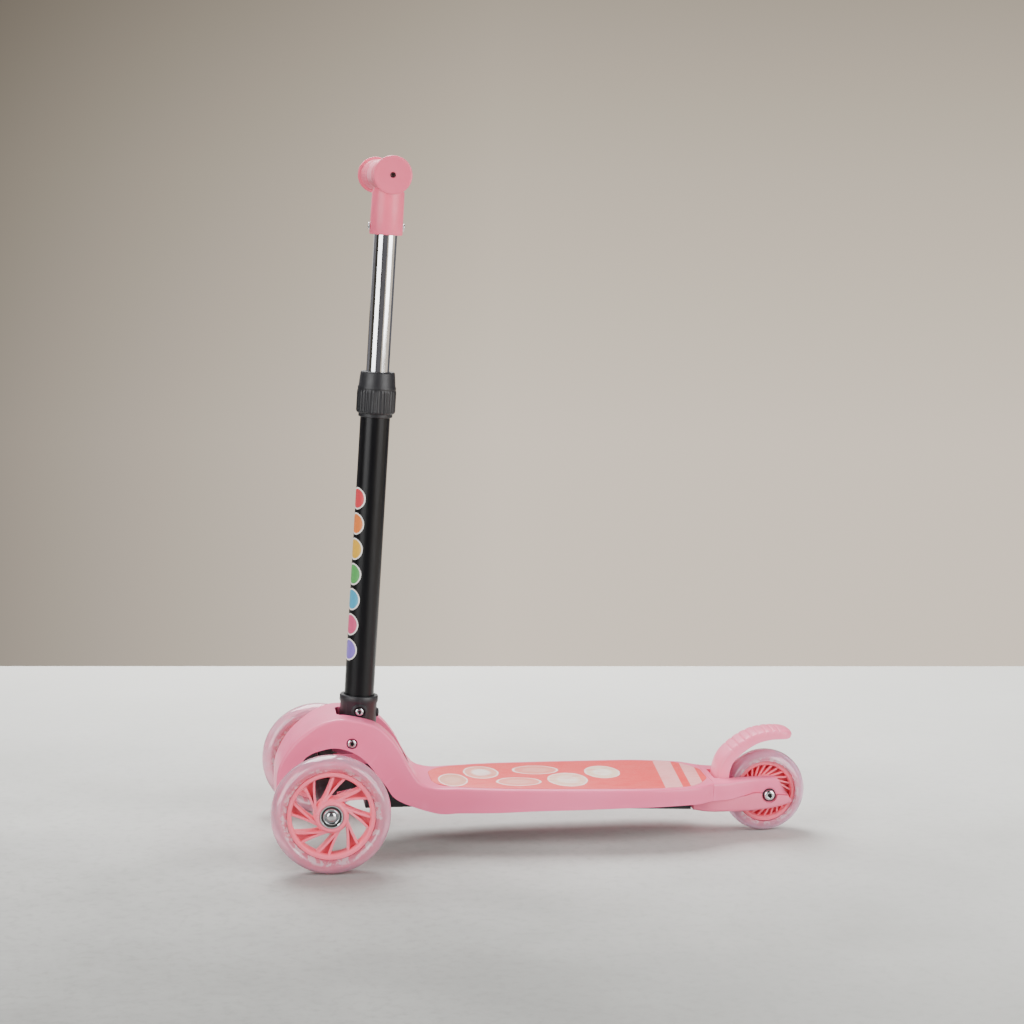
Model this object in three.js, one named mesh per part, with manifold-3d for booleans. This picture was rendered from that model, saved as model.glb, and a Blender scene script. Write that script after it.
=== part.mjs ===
// Three wheel folding kids scooter, in millimetres.
// +Z is up, the scooter rolls towards -Y, and X = 0 is its plane of symmetry.
// The origin lies on the floor, under the middle of the overall length.

import * as THREE from "three";
import { mergeVertices } from "three/addons/utils/BufferGeometryUtils.js";
import Module from "manifold-3d";

const wasm = await Module();
wasm.setup();

// Driving dimensions
const wheelbase = 427.5;
const track = 235;
const frontWheelRadius = 55;
const rearWheelRadius = 40;
const tyreWidth = 24;
const stemLean = THREE.MathUtils.degToRad(3.45);
const stemBehind = 25.3; // where the stem's axis would meet the floor, behind the front axle
const handleHeight = 632; // along the stem's axis, floor to handlebar
const handlebarWidth = 210;
const archHeight = 126;
const archRun = 100; // from the front axle to where the arch meets the deck
const archHalfWidth = 42;
const deckHalfWidth = 66;
const deckTopFront = 60.2;
const deckTopRear = 56;
const forkHalfWidth = 28;

const clearance = 0.3; // between pieces that touch
const boreGap = 0.2; // between a shaft and its bore
const overrun = 4; // how far a cutter reaches past what it cuts
const samePlace = 0.0003; // corners nearer than this are one corner

// Facets of the round pieces
const wideSides = 24;
const roundSides = 16;
const smallSides = 10;
const hexagonSides = 6;

// Places that follow from the driving dimensions
const overallLength = frontWheelRadius + wheelbase + rearWheelRadius;
const frontAxleY = frontWheelRadius - overallLength / 2;
const rearAxleY = frontAxleY + wheelbase;
const wheelX = track / 2;
const behind = (distance) => frontAxleY + distance;

// Shell
const wall = 3.5;
const rimRise = 3; // height of the rounded edge above the flat side
const rimRadius = 4; // how far the rounded edge reaches in
const edgeInset = 3; // how far the side's lower edge stands in from its upper one
const shellSteps = 38;
const hollowSteps = 22;
const ribThickness = 2.5;
const ribPitch = 78;

// Slot that the stem folds through
const slotSideGap = 1.6; // from the socket's side to the slot's
const slotWall = 3.5;
const slotRearGap = 20; // from the slot's rear end to where the arch meets the deck
const slotFloorRise = 0.392; // as a share of the arch's height over the deck

// Foot panel
const panelThickness = 1.4;
const panelRecess = 1.1;
const panelFrontGap = 1; // from where the arch meets the deck
const panelRearGap = 63.5; // ahead of the rear axle
const panelMargin = 6;
const panelEndRound = 30; // length of the rounding at each end
const panelEndShare = 0.35; // width that is left at the very end
const panelSteps = 18;

// Fork and rear cover
const forkTyreGap = 7.2; // from the rear tyre's side to the fork's arm
const forkFrontGap = 3.5; // ahead of the rear tyre
const forkRecessRadius = 7.6;
const forkRecessDepth = 2.6;
const coverScrewX = 17.4;
const coverScrewShares = [-1.35, 0.655]; // run from the rear axle and seat height, of its wheel's radius

// Brake fender
const brakePinShares = [-1.1625, 1.25]; // run from the rear axle and height, of its wheel's radius
const brakeNotchReach = 7; // ahead of the pin
const notchGap = 0.6; // from the notch's floor to the fender's lug
const brakePinRadius = 2;
const brakeLugRadius = 4.6;
const fenderTyreGap = 6; // from the rear tyre's side to the fender's outer face
const fenderSkin = 3.2;
const fenderFootSkirt = 12.8; // depth of the skirt at the foot, and before the tip and at its end
const fenderTipSkirt = 8.6;
const fenderEndSkirt = 3.6;
const fenderCrown = 1.6;
const fenderRibDepth = 0.9;
const fenderSteps = 21;

// Fold joint
const foldBoltRadius = 3;
const foldBoltHead = 4.8;
const foldBoltHeadHeight = 3;
const foldForward = 7; // the fold bolt lies this far in front of the stem's axis
const foldRise = 0.6413; // and at this share of the arch's height over the deck

// Stem socket, clamp and lock button
const socketWall = 3.4;
const slotFrontGap = 2.56; // from the socket to the slot's front wall
const socketAboveClamp = 13.9;
const shoulderAboveFold = 1.6;
const socketRim = 1.6;
const socketFlare = 0.4;
const socketLugRadius = 11.2;
const socketLugSweep = THREE.MathUtils.degToRad(130);
const clampAlong = 26; // along the stem's axis, above the fold bolt
const clampBoltRadius = 2.4;
const clampHeadRadius = 4;
const clampBossRadius = 7;
const clampBossHeight = 1.6;
const clampSeatGap = 1.2;
const buttonDrop = 2.9; // below the clamp bolt
const buttonRadius = 4.3;
const buttonProud = 2.4;

// Stem tubes and twist collar
const lowerTubeRadius = 14;
const lowerTubeWall = 1.5;
const lowerTubeAboveFold = 8.6;
const collarDrop = 182.5; // from the handlebar's middle to the collar's top
const collarHeight = 42.5;
const collarWall = 4.4; // outside the lower tube, at the ribbed part
const collarNeckWall = 2;
const collarConeHeight = 16.1; // of the smooth part above the ribbed one
const collarRoof = 6.7; // from the lower tube's mouth to the collar's top
const collarTopEdge = 1.1;
const collarLipGap = 0.6; // round the chrome tube
const collarGrooves = 12;
const collarGrooveRadius = 1.1;
const bushLength = 26;
const tubeStep = 3; // from the lower tube's outside to the chrome tube's
const upperTubeWall = 1.5;
const upperTubeHidden = 156.4; // length below the lower tube's mouth
const plugLength = 16;

// Handle
const handleSocketWall = 4.5;
const handleSocketDrop = 55; // from the handlebar's middle
const handleSocketBore = 40;
const handleEdge = 1;
const crossbarRadius = 14;
const crossbarForward = 5; // from the stem's axis to the crossbar's
const crossbarHalfLength = 30;
const spigotRadius = 10;
const gripRadius = 14.6;
const gripGroove = 0.9;
const gripGrooves = 4;
const gripShoulder = 2.5;
const capRadius = 17.5;
const capThickness = 5;
const capEdge = 1.2;
const capLip = 3;
const capDish = 0.8;
const capHole = 2.6;
const capHoleDepth = 3.4;
const handleScrewDrop = 47.5; // from the handlebar's middle
const handleScrewRadius = 1.8;
const handleScrewHead = 3.4;
const handleScrewProud = 1.4;
const handleScrewReach = 3.2; // how far the screw's tip stands inside the chrome tube's wall

// Steering bolt
const pivotTilt = THREE.MathUtils.degToRad(40);
const pivotBehind = 22.75;
const pivotAboveAxle = 9.9;
const pivotBoltRadius = 4;
const pivotBossRadius = 9.2;
const pivotNutRadius = 6.6;
const pivotNutHeight = 5;
const pivotSeat = 27; // from the middle of the barrel to the head's and the nut's seats
const barrelHalfLength = 11;
const barrelGap = 0.4;
const bushRadius = 6;
const bossRoomRadius = 18.4; // room round the bosses that the beam's web keeps clear of

// Axle beam and axle
const beamDepth = 20;
const beamHeight = 16;
const beamSides = 12;
const beamWheelGap = 3; // from the beam's end to the tyre's side
const webHalfDepth = 7;
const webHalfWidth = 14;
const webReach = 4;
const axleRadius = 4;
const axleCapRadius = 4.6;
const axleCapHeight = 3;

// Front mount
const mountHalfWidth = 24;
const mountAboveBeam = 8;
const mountNotchRise = 0.5745; // as a share of the arch's height over the deck
const mountRear = 7.5; // behind the front axle
const frontLegShare = 0.3; // of the arch's run, ahead of the front axle
const frontLegBack = 9; // these two lie ahead of the front axle
const rearLegFace = 5;

// Chassis keel
const keelHalfWidth = 20;
const keelWall = 3;
const keelBlockReach = 15.25; // from the steering bolt's middle to the block's front
const keelBlockGap = 16; // from the block's rear to where the arch meets the deck
const keelRearGap = 75.5; // ahead of the rear axle
const keelBlockRise = 14.1; // above the steering bolt's middle
const keelDrop = 14.2; // from the deck's top to the keel's
const keelDepthFront = 9;
const keelDepthRear = 19.4;
const keelScrewGap = 11; // behind where the arch meets the deck
const keelScrewEndGap = 17; // ahead of the keel's rear end
const keelScrews = 3;

// Wheels
const wheelSides = 28;
const rimShare = 0.733; // of the wheel's radius
const tyreCrownShare = 0.85; // depth of the tread's curve, of half the tyre's width
const tyreShoulder = 4.5; // from the tyre's side to the edge of its foot on the rim
const rimWebWidth = 13;
const rimEdge = 1; // how far the rim's band reaches past the tyre's foot
const rimBandThickness = 4.4;
const hubWall = 4.2;
const hubBoreGap = 1;
const spokeThickness = 2.3;
const spokeLeanShare = 0.87; // each spoke's line passes the axle at this share of its inner end's radius
const windowGap = 0.6; // from a window to the hub and to the band
const pocketWeb = 2.4;
const frontSpokePairs = 8;
const rearPockets = 14;
const bearingRadius = 11;
const bearingWidth = 7;
const bearingInset = 1.2;
const sleeveRadius = 6;
const lampBand = 1.2;
const lampWidth = 6;
const lampDepth = 5.4;
const lampLength = 11;
const frontLamps = 8;
const rearLamps = 6;

// Bolt heads and screws
const rearBoltHead = 5.6;
const headFlatShare = 0.45; // flat part of a button head's crown
const headSideShare = 0.35; // straight part of its side
const headSocketShare = 0.48;
const headFloorShare = 0.4;
const screwHead = 3.2;
const screwHeadHeight = 1.8;
const screwShank = 1.6;
const screwLength = 9;

// Places that follow from the sizes above. These are runs behind the front axle.
const panelFront = archRun + panelFrontGap;
const panelRear = wheelbase - panelRearGap;
const slotRear = archRun - slotRearGap;
const keelBlockFront = pivotBehind + keelBlockReach;
const keelBlockRear = archRun - keelBlockGap;
const keelRear = wheelbase - keelRearGap;
const forkGapFront = wheelbase - rearWheelRadius - forkFrontGap;
const brakePinBehind = wheelbase + brakePinShares[0] * rearWheelRadius;
const brakeNotchFront = brakePinBehind - brakeNotchReach;
const coverScrewBehind = wheelbase + coverScrewShares[0] * rearWheelRadius;
const frontLegFace = frontLegShare * archRun;

// Heights
const archHeightAt = (rise) => THREE.MathUtils.lerp(deckTopFront, archHeight, rise);
const slotFloor = archHeightAt(slotFloorRise);
const pivotHeight = frontWheelRadius + pivotAboveAxle;
const mountBottom = frontWheelRadius + beamHeight / 2 + mountAboveBeam;
const mountNotchBottom = archHeightAt(mountNotchRise);
const keelBlockTop = pivotHeight + keelBlockRise;
const keelTop = deckTopFront - keelDrop;
const keelBottomFront = keelTop - keelDepthFront;
const keelBottomRear = keelTop - keelDepthRear;
const brakePinHeight = brakePinShares[1] * rearWheelRadius;
const coverScrewSeat = coverScrewShares[1] * rearWheelRadius;

// Along the stem's axis from the floor
const foldAlong = archHeightAt(foldRise);
const clampHeight = foldAlong + clampAlong;
const buttonHeight = clampHeight - buttonDrop;
const socketShoulder = foldAlong + shoulderAboveFold;
const socketTop = clampHeight + socketAboveClamp;
const lowerTubeBottom = foldAlong + lowerTubeAboveFold;
const collarTop = handleHeight - collarDrop;
const collarBottom = collarTop - collarHeight;
const collarGripTop = collarTop - collarConeHeight;
const tubeMouth = collarTop - collarRoof - clearance;
const upperTubeBottom = tubeMouth - upperTubeHidden;
const handleSocketBottom = handleHeight - handleSocketDrop;
const handleScrewAlong = handleHeight - handleScrewDrop;

// Across the width, round the stem and round the wheels
const socketRadius = lowerTubeRadius + socketWall;
const slotHalfWidth = socketRadius + slotSideGap;
const collarRadius = lowerTubeRadius + collarWall;
const collarNeckRadius = lowerTubeRadius + collarNeckWall;
const upperTubeRadius = lowerTubeRadius - tubeStep;
const handleSocketRadius = upperTubeRadius + handleSocketWall;
const forkGapHalfWidth = tyreWidth / 2 + forkTyreGap;
const fenderHalfWidth = tyreWidth / 2 + fenderTyreGap;
const frontRimRadius = frontWheelRadius * rimShare;
const rearRimRadius = rearWheelRadius * rimShare;
const tyreFoot = tyreWidth / 2 - tyreShoulder;
const rimBandHalfWidth = tyreFoot + rimEdge;

// Materials
function plastic(color, roughness) {
  return new THREE.MeshStandardMaterial({ color, roughness, metalness: 0 });
}

function metal(color, roughness) {
  return new THREE.MeshStandardMaterial({ color, roughness, metalness: 1 });
}

const pink = plastic(0xe890a6, 0.42);
const coral = plastic(0xe87a78, 0.5);
const rimPink = plastic(0xee7c84, 0.38);
const clearPink = plastic(0xe8b9c2, 0.2);
const lampWhite = plastic(0xf3e6ea, 0.35);
const black = plastic(0x26262a, 0.5);
const blackPaint = metal(0x1b1b1e, 0.38);
const chrome = metal(0xd8dade, 0.12);
const steel = metal(0xa9adb2, 0.35);

// Solids: each of these returns a closed manifold
function solid(geometry) {
  const bare = geometry.clone();
  bare.deleteAttribute("normal");
  bare.deleteAttribute("uv");
  const merged = mergeVertices(bare, samePlace);
  const mesh = new wasm.Mesh({
    numProp: 3,
    vertProperties: new Float32Array(merged.attributes.position.array),
    triVerts: new Uint32Array(merged.index.array),
  });
  return new wasm.Manifold(mesh);
}

function join(parts) {
  return parts.reduce((whole, part) => whole.add(part));
}

function cut(whole, cutters) {
  return cutters.reduce((rest, cutter) => rest.subtract(cutter), whole);
}

// Local x, y and z of a shape turned to the part's Y, Z and X
const sideways = new THREE.Matrix4().makeBasis(
  new THREE.Vector3(0, 1, 0),
  new THREE.Vector3(0, 0, 1),
  new THREE.Vector3(1, 0, 0),
);

function outline(points) {
  return new THREE.Shape(points.map(([a, b]) => new THREE.Vector2(a, b)));
}

// A side outline of [y, z] points, extruded across X between two places
function across(points, fromX, toX) {
  const geometry = new THREE.ExtrudeGeometry(outline(points), { depth: toX - fromX, bevelEnabled: false });
  geometry.applyMatrix4(sideways);
  geometry.translate(fromX, 0, 0);
  return solid(geometry);
}

// A plan outline of [x, y] points, extruded up Z between two heights
function upward(points, fromZ, toZ) {
  const geometry = new THREE.ExtrudeGeometry(outline(points), { depth: toZ - fromZ, bevelEnabled: false });
  geometry.translate(0, 0, fromZ);
  return solid(geometry);
}

function box(x0, x1, y0, y1, z0, z1) {
  const geometry = new THREE.BoxGeometry(x1 - x0, y1 - y0, z1 - z0);
  geometry.translate((x0 + x1) / 2, (y0 + y1) / 2, (z0 + z1) / 2);
  return solid(geometry);
}

// A profile of [radius, height] points turned about Z
function turned(profile, sides) {
  const points = profile.map(([radius, height]) => new THREE.Vector2(radius, height));
  const geometry = new THREE.LatheGeometry(points, sides);
  geometry.rotateX(Math.PI / 2);
  return solid(geometry);
}

function rod(radius, fromZ, toZ, sides = roundSides) {
  return turned([[0, fromZ], [radius, fromZ], [radius, toZ], [0, toZ]], sides);
}

function ring(inner, outer, fromZ, toZ, sides = roundSides) {
  return turned([[inner, fromZ], [outer, fromZ], [outer, toZ], [inner, toZ], [inner, fromZ]], sides);
}

// Turns a solid's Z axis to X, as every axle and cross bolt lies, or to -X on the other side
function alongX(part, side = 1) {
  const lying = part.rotate([0, 90, 0]);
  return side > 0 ? lying : lying.mirror([1, 0, 0]);
}

// Turns a solid's Z axis to Y
function alongY(part) {
  return part.rotate([-90, 0, 0]);
}

function place(part, x, y, z) {
  return part.translate([x, y, z]);
}

// Points of a circle as [a, b], from one angle to another
function arc(centreA, centreB, radius, fromAngle, toAngle, steps) {
  return Array.from({ length: steps + 1 }, (_, i) => {
    const angle = fromAngle + ((toAngle - fromAngle) * i) / steps;
    return [centreA + radius * Math.cos(angle), centreB + radius * Math.sin(angle)];
  });
}

// Quarter circle from [1, 0] to [0, 1], to be scaled into a rounded crown
function quarter(steps) {
  return arc(0, 0, 1, 0, Math.PI / 2, steps);
}

// Lays a flat ring of points out in two dimensions, seen from the side that it runs counterclockwise on
function flattened(points) {
  const normal = points.reduce((sum, point, i) => {
    const next = points[(i + 1) % points.length];
    return sum.add(point.clone().sub(points[0]).cross(next.clone().sub(points[0])));
  }, new THREE.Vector3());
  const u = points[1].clone().sub(points[0]).normalize();
  const v = normal.normalize().cross(u);
  return points.map((point) => {
    const offset = point.clone().sub(points[0]);
    return new THREE.Vector2(offset.dot(u), offset.dot(v));
  });
}

// Rings of equally many points, each joined to the next and closed at both ends. Seen from the last
// ring, they run counterclockwise.
function loft(rings) {
  const count = rings[0].length;
  const positions = rings.flat().flatMap((point) => [point.x, point.y, point.z]);
  const faces = [];
  for (let i = 0; i + 1 < rings.length; i += 1) {
    for (let j = 0; j < count; j += 1) {
      const a = i * count + j;
      const b = i * count + ((j + 1) % count);
      faces.push(a, b, b + count, a, b + count, a + count);
    }
  }
  const last = (rings.length - 1) * count;
  for (const [a, b, c] of THREE.ShapeUtils.triangulateShape(flattened(rings[0]), [])) {
    faces.push(a, c, b);
  }
  for (const [a, b, c] of THREE.ShapeUtils.triangulateShape(flattened(rings.at(-1)), [])) {
    faces.push(last + a, last + b, last + c);
  }
  const mesh = new wasm.Mesh({
    numProp: 3,
    vertProperties: new Float32Array(positions),
    triVerts: new Uint32Array(faces),
  });
  return new wasm.Manifold(mesh);
}

// Deck shell: one beam that rises at the front, arches over the axle and runs back as the deck and fork.
// Arch stations, from the front foot back: the upper edge's run and rise, the lower edge's run and rise,
// then the half width as a share of the arch's. Runs are shares of the arch's run, and rises shares of
// the arch's height over the deck's top, from that top up.
const archShares = [
  [-0.43, -0.245, -0.27, -0.245, 0.77],
  [-0.435, 0.023, -0.26, 0.062, 0.78],
  [-0.41, 0.301, -0.215, 0.359, 0.8],
  [-0.295, 0.588, -0.135, 0.479, 0.85],
  [-0.15, 0.786, -0.04, 0.537, 0.9],
  [-0.02, 0.906, 0.035, 0.567, 0.94],
  [0.126, 0.958, 0.11, 0.573, 0.975],
  [0.28, 0.931, 0.2, 0.544, 1],
  [0.465, 0.849, 0.31, 0.464, 1.03],
  [0.589, 0.692, 0.4, 0.339, 1.055],
  [0.682, 0.498, 0.48, 0.186, 1.075],
  [0.765, 0.255, 0.56, 0.027, 1.09],
  [0.867, 0.044, 0.68, -0.191, 1.115],
];

// Deck stations: the run as a share of the way from the arch's end to the rear axle, the lower edge's
// drop below the upper one as a share of the front deck height, then the half width as a share of the
// deck's.
const deckShares = [
  [0.01, 0.365, 0.735],
  [0.08, 0.36, 0.77],
  [0.18, 0.335, 0.875],
  [0.3, 0.3, 0.93],
  [0.42, 0.28, 0.97],
  [0.54, 0.255, 0.995],
  [0.63, 0.245, 1],
  [0.71, 0.24, 0.94],
  [0.775, 0.245, 0.84],
  [0.82, 0.25, 0.65],
];

// Fork stations: the upper edge's run from the rear axle and its height, the lower edge's run and
// height, as shares of the rear wheel's radius, then the half width as a share of the fork's.
const forkShares = [
  [-1.07, 1.33, -1.02, 0.975, 1.36],
  [-0.68, 1.345, -0.62, 1.02, 1.13],
  [-0.33, 1.36, -0.32, 1.075, 1.02],
  [0, 1.36, 0, 1.02, 1],
  [0.2, 1.36, 0.36, 1.0, 1],
  [0.36, 1.12, 0.46, 0.98, 1],
];

function shellStations() {
  const arch = archShares.map(([run, rise, lowRun, lowRise, width]) => ({
    upper: new THREE.Vector2(run * archRun, archHeightAt(rise)),
    lower: new THREE.Vector2(lowRun * archRun, archHeightAt(lowRise)),
    halfWidth: width * archHalfWidth,
  }));
  const deck = deckShares.map(([share, drop, width]) => {
    const run = archRun + share * (wheelbase - archRun);
    const edge = deckTopAt(run) - rimRise;
    return {
      upper: new THREE.Vector2(run, edge),
      lower: new THREE.Vector2(run, edge - drop * deckTopFront),
      halfWidth: width * deckHalfWidth,
    };
  });
  const fork = forkShares.map(([run, height, lowRun, lowHeight, width]) => ({
    upper: new THREE.Vector2(wheelbase + run * rearWheelRadius, height * rearWheelRadius),
    lower: new THREE.Vector2(wheelbase + lowRun * rearWheelRadius, lowHeight * rearWheelRadius),
    halfWidth: width * forkHalfWidth,
  }));
  return [...arch, ...deck, ...fork];
}

// Deck top: a slanted plane from the arch to the rear axle
function deckTopAt(distance) {
  return deckTopFront + ((deckTopRear - deckTopFront) * (distance - archRun)) / (wheelbase - archRun);
}

const stations = shellStations();
const upperEdge = new THREE.SplineCurve(stations.map((station) => station.upper));
const lowerEdge = new THREE.SplineCurve(stations.map((station) => station.lower));
const halfWidths = new THREE.SplineCurve(
  stations.map(({ halfWidth }, i) => new THREE.Vector2(i, halfWidth)),
);
const hollowEndShare = (archShares.length + deckShares.length - 1) / (stations.length - 1);

// The shell's section at a share of its path, drawn in by an inset and lengthened at its open lower side
function shellSection(share, inset, below) {
  const top = upperEdge.getPoint(share);
  const low = lowerEdge.getPoint(share);
  const half = halfWidths.getPoint(share).y - inset;
  const up = top.clone().sub(low);
  const height = up.length() + rimRise - inset;
  up.normalize();
  const shoulder = height - rimRise;
  const diagonal = Math.SQRT1_2;
  const side = [
    [half - edgeInset, -below],
    [half, shoulder],
    [half - rimRadius * (1 - diagonal), shoulder + rimRise * diagonal],
    [half - rimRadius, height],
  ];
  const mirrored = side.map(([x, h]) => [-x, h]);
  return [...mirrored, ...side.reverse()].map(
    ([x, h]) => new THREE.Vector3(x, behind(low.x + up.x * h), low.y + up.y * h),
  );
}

function shellLoft(inset, below, toShare, steps) {
  const shares = Array.from({ length: steps + 1 }, (_, i) => (toShare * i) / steps);
  return loft(shares.map((share) => shellSection(share, inset, below)));
}

// The hollow under the shell, with its sides drawn in by a margin
function hollow(margin) {
  const open = shellLoft(wall + margin, overrun, hollowEndShare, hollowSteps);
  const frontRing = shellSection(0, wall + margin, overrun);
  const foot = frontRing.map((point) => new THREE.Vector3(point.x, point.y, point.z - overrun));
  return open.add(loft([foot, frontRing]));
}

// What the shell's own material and a clearance round it take up
function shellMaterial() {
  return shellLoft(-clearance, clearance, 1, shellSteps).subtract(hollow(clearance));
}

// Points of the shell's upper edge between two runs behind the front axle, above a height
function upperEdgeBetween(fromRun, toRun, above) {
  return upperEdge
    .getPoints(shellSteps * 2)
    .filter((point) => point.x > fromRun && point.x < toRun && point.y > above)
    .map((point) => [behind(point.x), point.y]);
}

function shellHalfWidthAt(distance) {
  const steps = shellSteps * 16;
  const shares = Array.from({ length: steps + 1 }, (_, i) => i / steps);
  const gap = (share) => Math.abs(upperEdge.getPoint(share).x - distance);
  const nearest = shares.reduce((best, share) => (gap(share) < gap(best) ? share : best));
  return halfWidths.getPoint(nearest).y;
}

// Foot panel outline as [x, y], drawn in by a margin, its ends rounded
function panelOutline(margin) {
  const right = Array.from({ length: panelSteps + 1 }, (_, i) => {
    const distance = panelFront + ((panelRear - panelFront) * i) / panelSteps;
    const toEnd = Math.min(distance - panelFront, panelRear - distance, panelEndRound) / panelEndRound;
    const rounding = Math.sqrt(1 - (1 - toEnd) ** 2);
    const widthShare = THREE.MathUtils.lerp(panelEndShare, 1, rounding);
    const half = (shellHalfWidthAt(distance) - panelMargin) * widthShare;
    const drawnIn = THREE.MathUtils.clamp(distance, panelFront + margin, panelRear - margin);
    return [half - margin, behind(drawnIn)];
  });
  const left = right.map(([x, y]) => [-x, y]).reverse();
  return [...right, ...left];
}

// A slab between two levels over the deck's top, with the panel's outline
function panelSlab(margin, from, to) {
  const slope = Math.atan2(deckTopRear - deckTopFront, wheelbase - archRun);
  const middle = (panelFront + panelRear) / 2;
  return upward(panelOutline(margin), from, to)
    .translate([0, -behind(middle), 0])
    .rotate([THREE.MathUtils.radToDeg(slope), 0, 0])
    .translate([0, behind(middle), deckTopAt(middle)]);
}

function deckPanel() {
  return panelSlab(clearance, clearance - panelRecess, panelThickness - panelRecess);
}

// Ribs inside the shell: across the deck at a steady pitch, and one along each side of the keel
function shellRibs() {
  const from = keelTop + clearance;
  const ribs = [];
  for (let at = archRun + ribPitch / 2; at < brakeNotchFront - ribPitch / 2; at += ribPitch) {
    ribs.push(box(-deckHalfWidth, deckHalfWidth, behind(at), behind(at) + ribThickness, from, deckTopFront));
  }
  for (const side of [-1, 1]) {
    const middle = side * (keelHalfWidth + ribThickness);
    ribs.push(
      box(
        middle - ribThickness / 2, middle + ribThickness / 2,
        behind(archRun), behind(brakeNotchFront), from, deckTopFront,
      ),
    );
  }
  return join(ribs);
}

// Fold bolt's axis, and the shell's half width beside it
const foldPoint = {
  y: behind(stemBehind) - foldForward * Math.cos(stemLean) + foldAlong * Math.sin(stemLean),
  z: foldAlong * Math.cos(stemLean) + foldForward * Math.sin(stemLean),
};
const foldHalfWidth = shellHalfWidthAt(foldPoint.y - frontAxleY) - edgeInset / 2;
const foldSeat = foldHalfWidth - foldBoltHeadHeight;
const slotFront = stemBehind + foldAlong * Math.sin(stemLean) - socketRadius - slotFrontGap;

const cutTop = archHeight + overrun; // above all of the shell

function deckShell() {
  const outer = shellLoft(0, 0, 1, shellSteps);
  const slotHousing = box(
    -slotHalfWidth - slotWall, slotHalfWidth + slotWall,
    behind(slotFront - slotWall), behind(slotRear + slotWall), slotFloor, cutTop,
  );
  const shell = outer.subtract(cut(hollow(0), [slotHousing, shellRibs()]));
  const slot = box(
    -slotHalfWidth, slotHalfWidth, behind(slotFront), behind(slotRear),
    deckTopFront + wall, cutTop,
  );
  const panelRoom = panelSlab(0, -panelRecess, cutTop - deckTopFront);
  return cut(shell, [slot, panelRoom, foldCutter(), wheelCutter(), brakeCutter(), rearAxleCutter()]);
}

// Hole for the fold bolt, with a round seat for its head and its nut
function foldCutter() {
  const hole = rod(foldBoltRadius + boreGap, -foldHalfWidth - overrun, foldHalfWidth + overrun);
  const seat = rod(foldBoltHead + clearance, foldSeat, foldHalfWidth + overrun);
  return place(alongX(join([hole, seat, seat.mirror([0, 0, 1])])), 0, foldPoint.y, foldPoint.z);
}

// Room for the rear wheel between the fork's arms
function wheelCutter() {
  return box(
    -forkGapHalfWidth, forkGapHalfWidth, behind(forkGapFront), rearAxleY + rearWheelRadius,
    0, cutTop,
  );
}

// Room for the fender's lug, and the holes of its pin
function brakeCutter() {
  const notch = box(
    -forkGapHalfWidth, forkGapHalfWidth, behind(brakeNotchFront), behind(forkGapFront) + overrun,
    brakePinHeight - brakeLugRadius - notchGap, cutTop,
  );
  const hole = rod(brakePinRadius + boreGap, wall - forkHalfWidth, forkHalfWidth - wall, smallSides);
  return notch.add(place(alongX(hole), 0, behind(brakePinBehind), brakePinHeight));
}

// Hole for the rear axle, with a round recess on both outer faces
function rearAxleCutter() {
  const hole = rod(axleRadius + boreGap, -forkHalfWidth - overrun, forkHalfWidth + overrun);
  const recess = rod(forkRecessRadius, forkHalfWidth - forkRecessDepth, forkHalfWidth + overrun, wideSides);
  return place(alongX(join([hole, recess, recess.mirror([0, 0, 1])])), 0, rearAxleY, rearWheelRadius);
}

// Rear cover: closes the shell from below, from the keel's end to the fork's tips. Runs from the rear
// axle and lower heights as shares of the rear wheel's radius, half widths as shares of the fork's.
const coverShares = [
  [-1.87, 0.7, 1.1],
  [-1.5, 0.66, 1.2],
  [-1.07, 0.645, 1.16],
  [-0.5, 0.63, 1.04],
  [0, 0.68, 1],
  [0.36, 0.76, 1],
];

function rearCover() {
  const top = rearWheelRadius + wall;
  const rings = coverShares.map(([run, height, width]) => {
    const y = rearAxleY + run * rearWheelRadius;
    const low = height * rearWheelRadius;
    const half = width * forkHalfWidth;
    const points = [
      [edgeInset - half, low], [-half, low + edgeInset], [-half, top],
      [half, top], [half, low + edgeInset], [half - edgeInset, low],
    ];
    return points.map(([x, z]) => new THREE.Vector3(x, y, z));
  });
  const shellRoom = shellLoft(-clearance, clearance, 1, shellSteps);
  return cut(loft(rings), [shellRoom, wheelCutter(), rearAxleCutter(), ...coverScrewHoles()]);
}

// Screws whose heads lie flush with a face that looks down
function screw() {
  return rod(screwShank, 0, screwLength, smallSides).add(rod(screwHead, -screwHeadHeight, 0, smallSides));
}

function screwHole() {
  const shank = rod(screwShank + boreGap, 0, screwLength + clearance, smallSides);
  return shank.add(rod(screwHead + clearance, -screwHeadHeight - overrun, 0, smallSides));
}

const coverScrewPlaces = [-1, 1].map((side) => ({
  x: side * coverScrewX,
  y: behind(coverScrewBehind),
  z: coverScrewSeat + screwHeadHeight,
}));

function coverScrewHoles() {
  return coverScrewPlaces.map(({ x, y, z }) => place(screwHole(), x, y, z));
}

// Steering bolt's axis: from low at the rear to high at the front, in the plane of symmetry
const pivot = { y: behind(pivotBehind), z: pivotHeight };
const barrelEnd = barrelHalfLength + barrelGap;
const pivotEnd = pivotSeat + clearance + pivotNutHeight;

// Turns a solid's Z axis to the steering axis and sets it on the pivot's middle
function alongPivot(part) {
  return place(part.rotate([90 - THREE.MathUtils.radToDeg(pivotTilt), 0, 0]), 0, pivot.y, pivot.z);
}

function pivotHole() {
  return alongPivot(rod(pivotBoltRadius + boreGap, -pivotEnd, pivotEnd));
}

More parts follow.
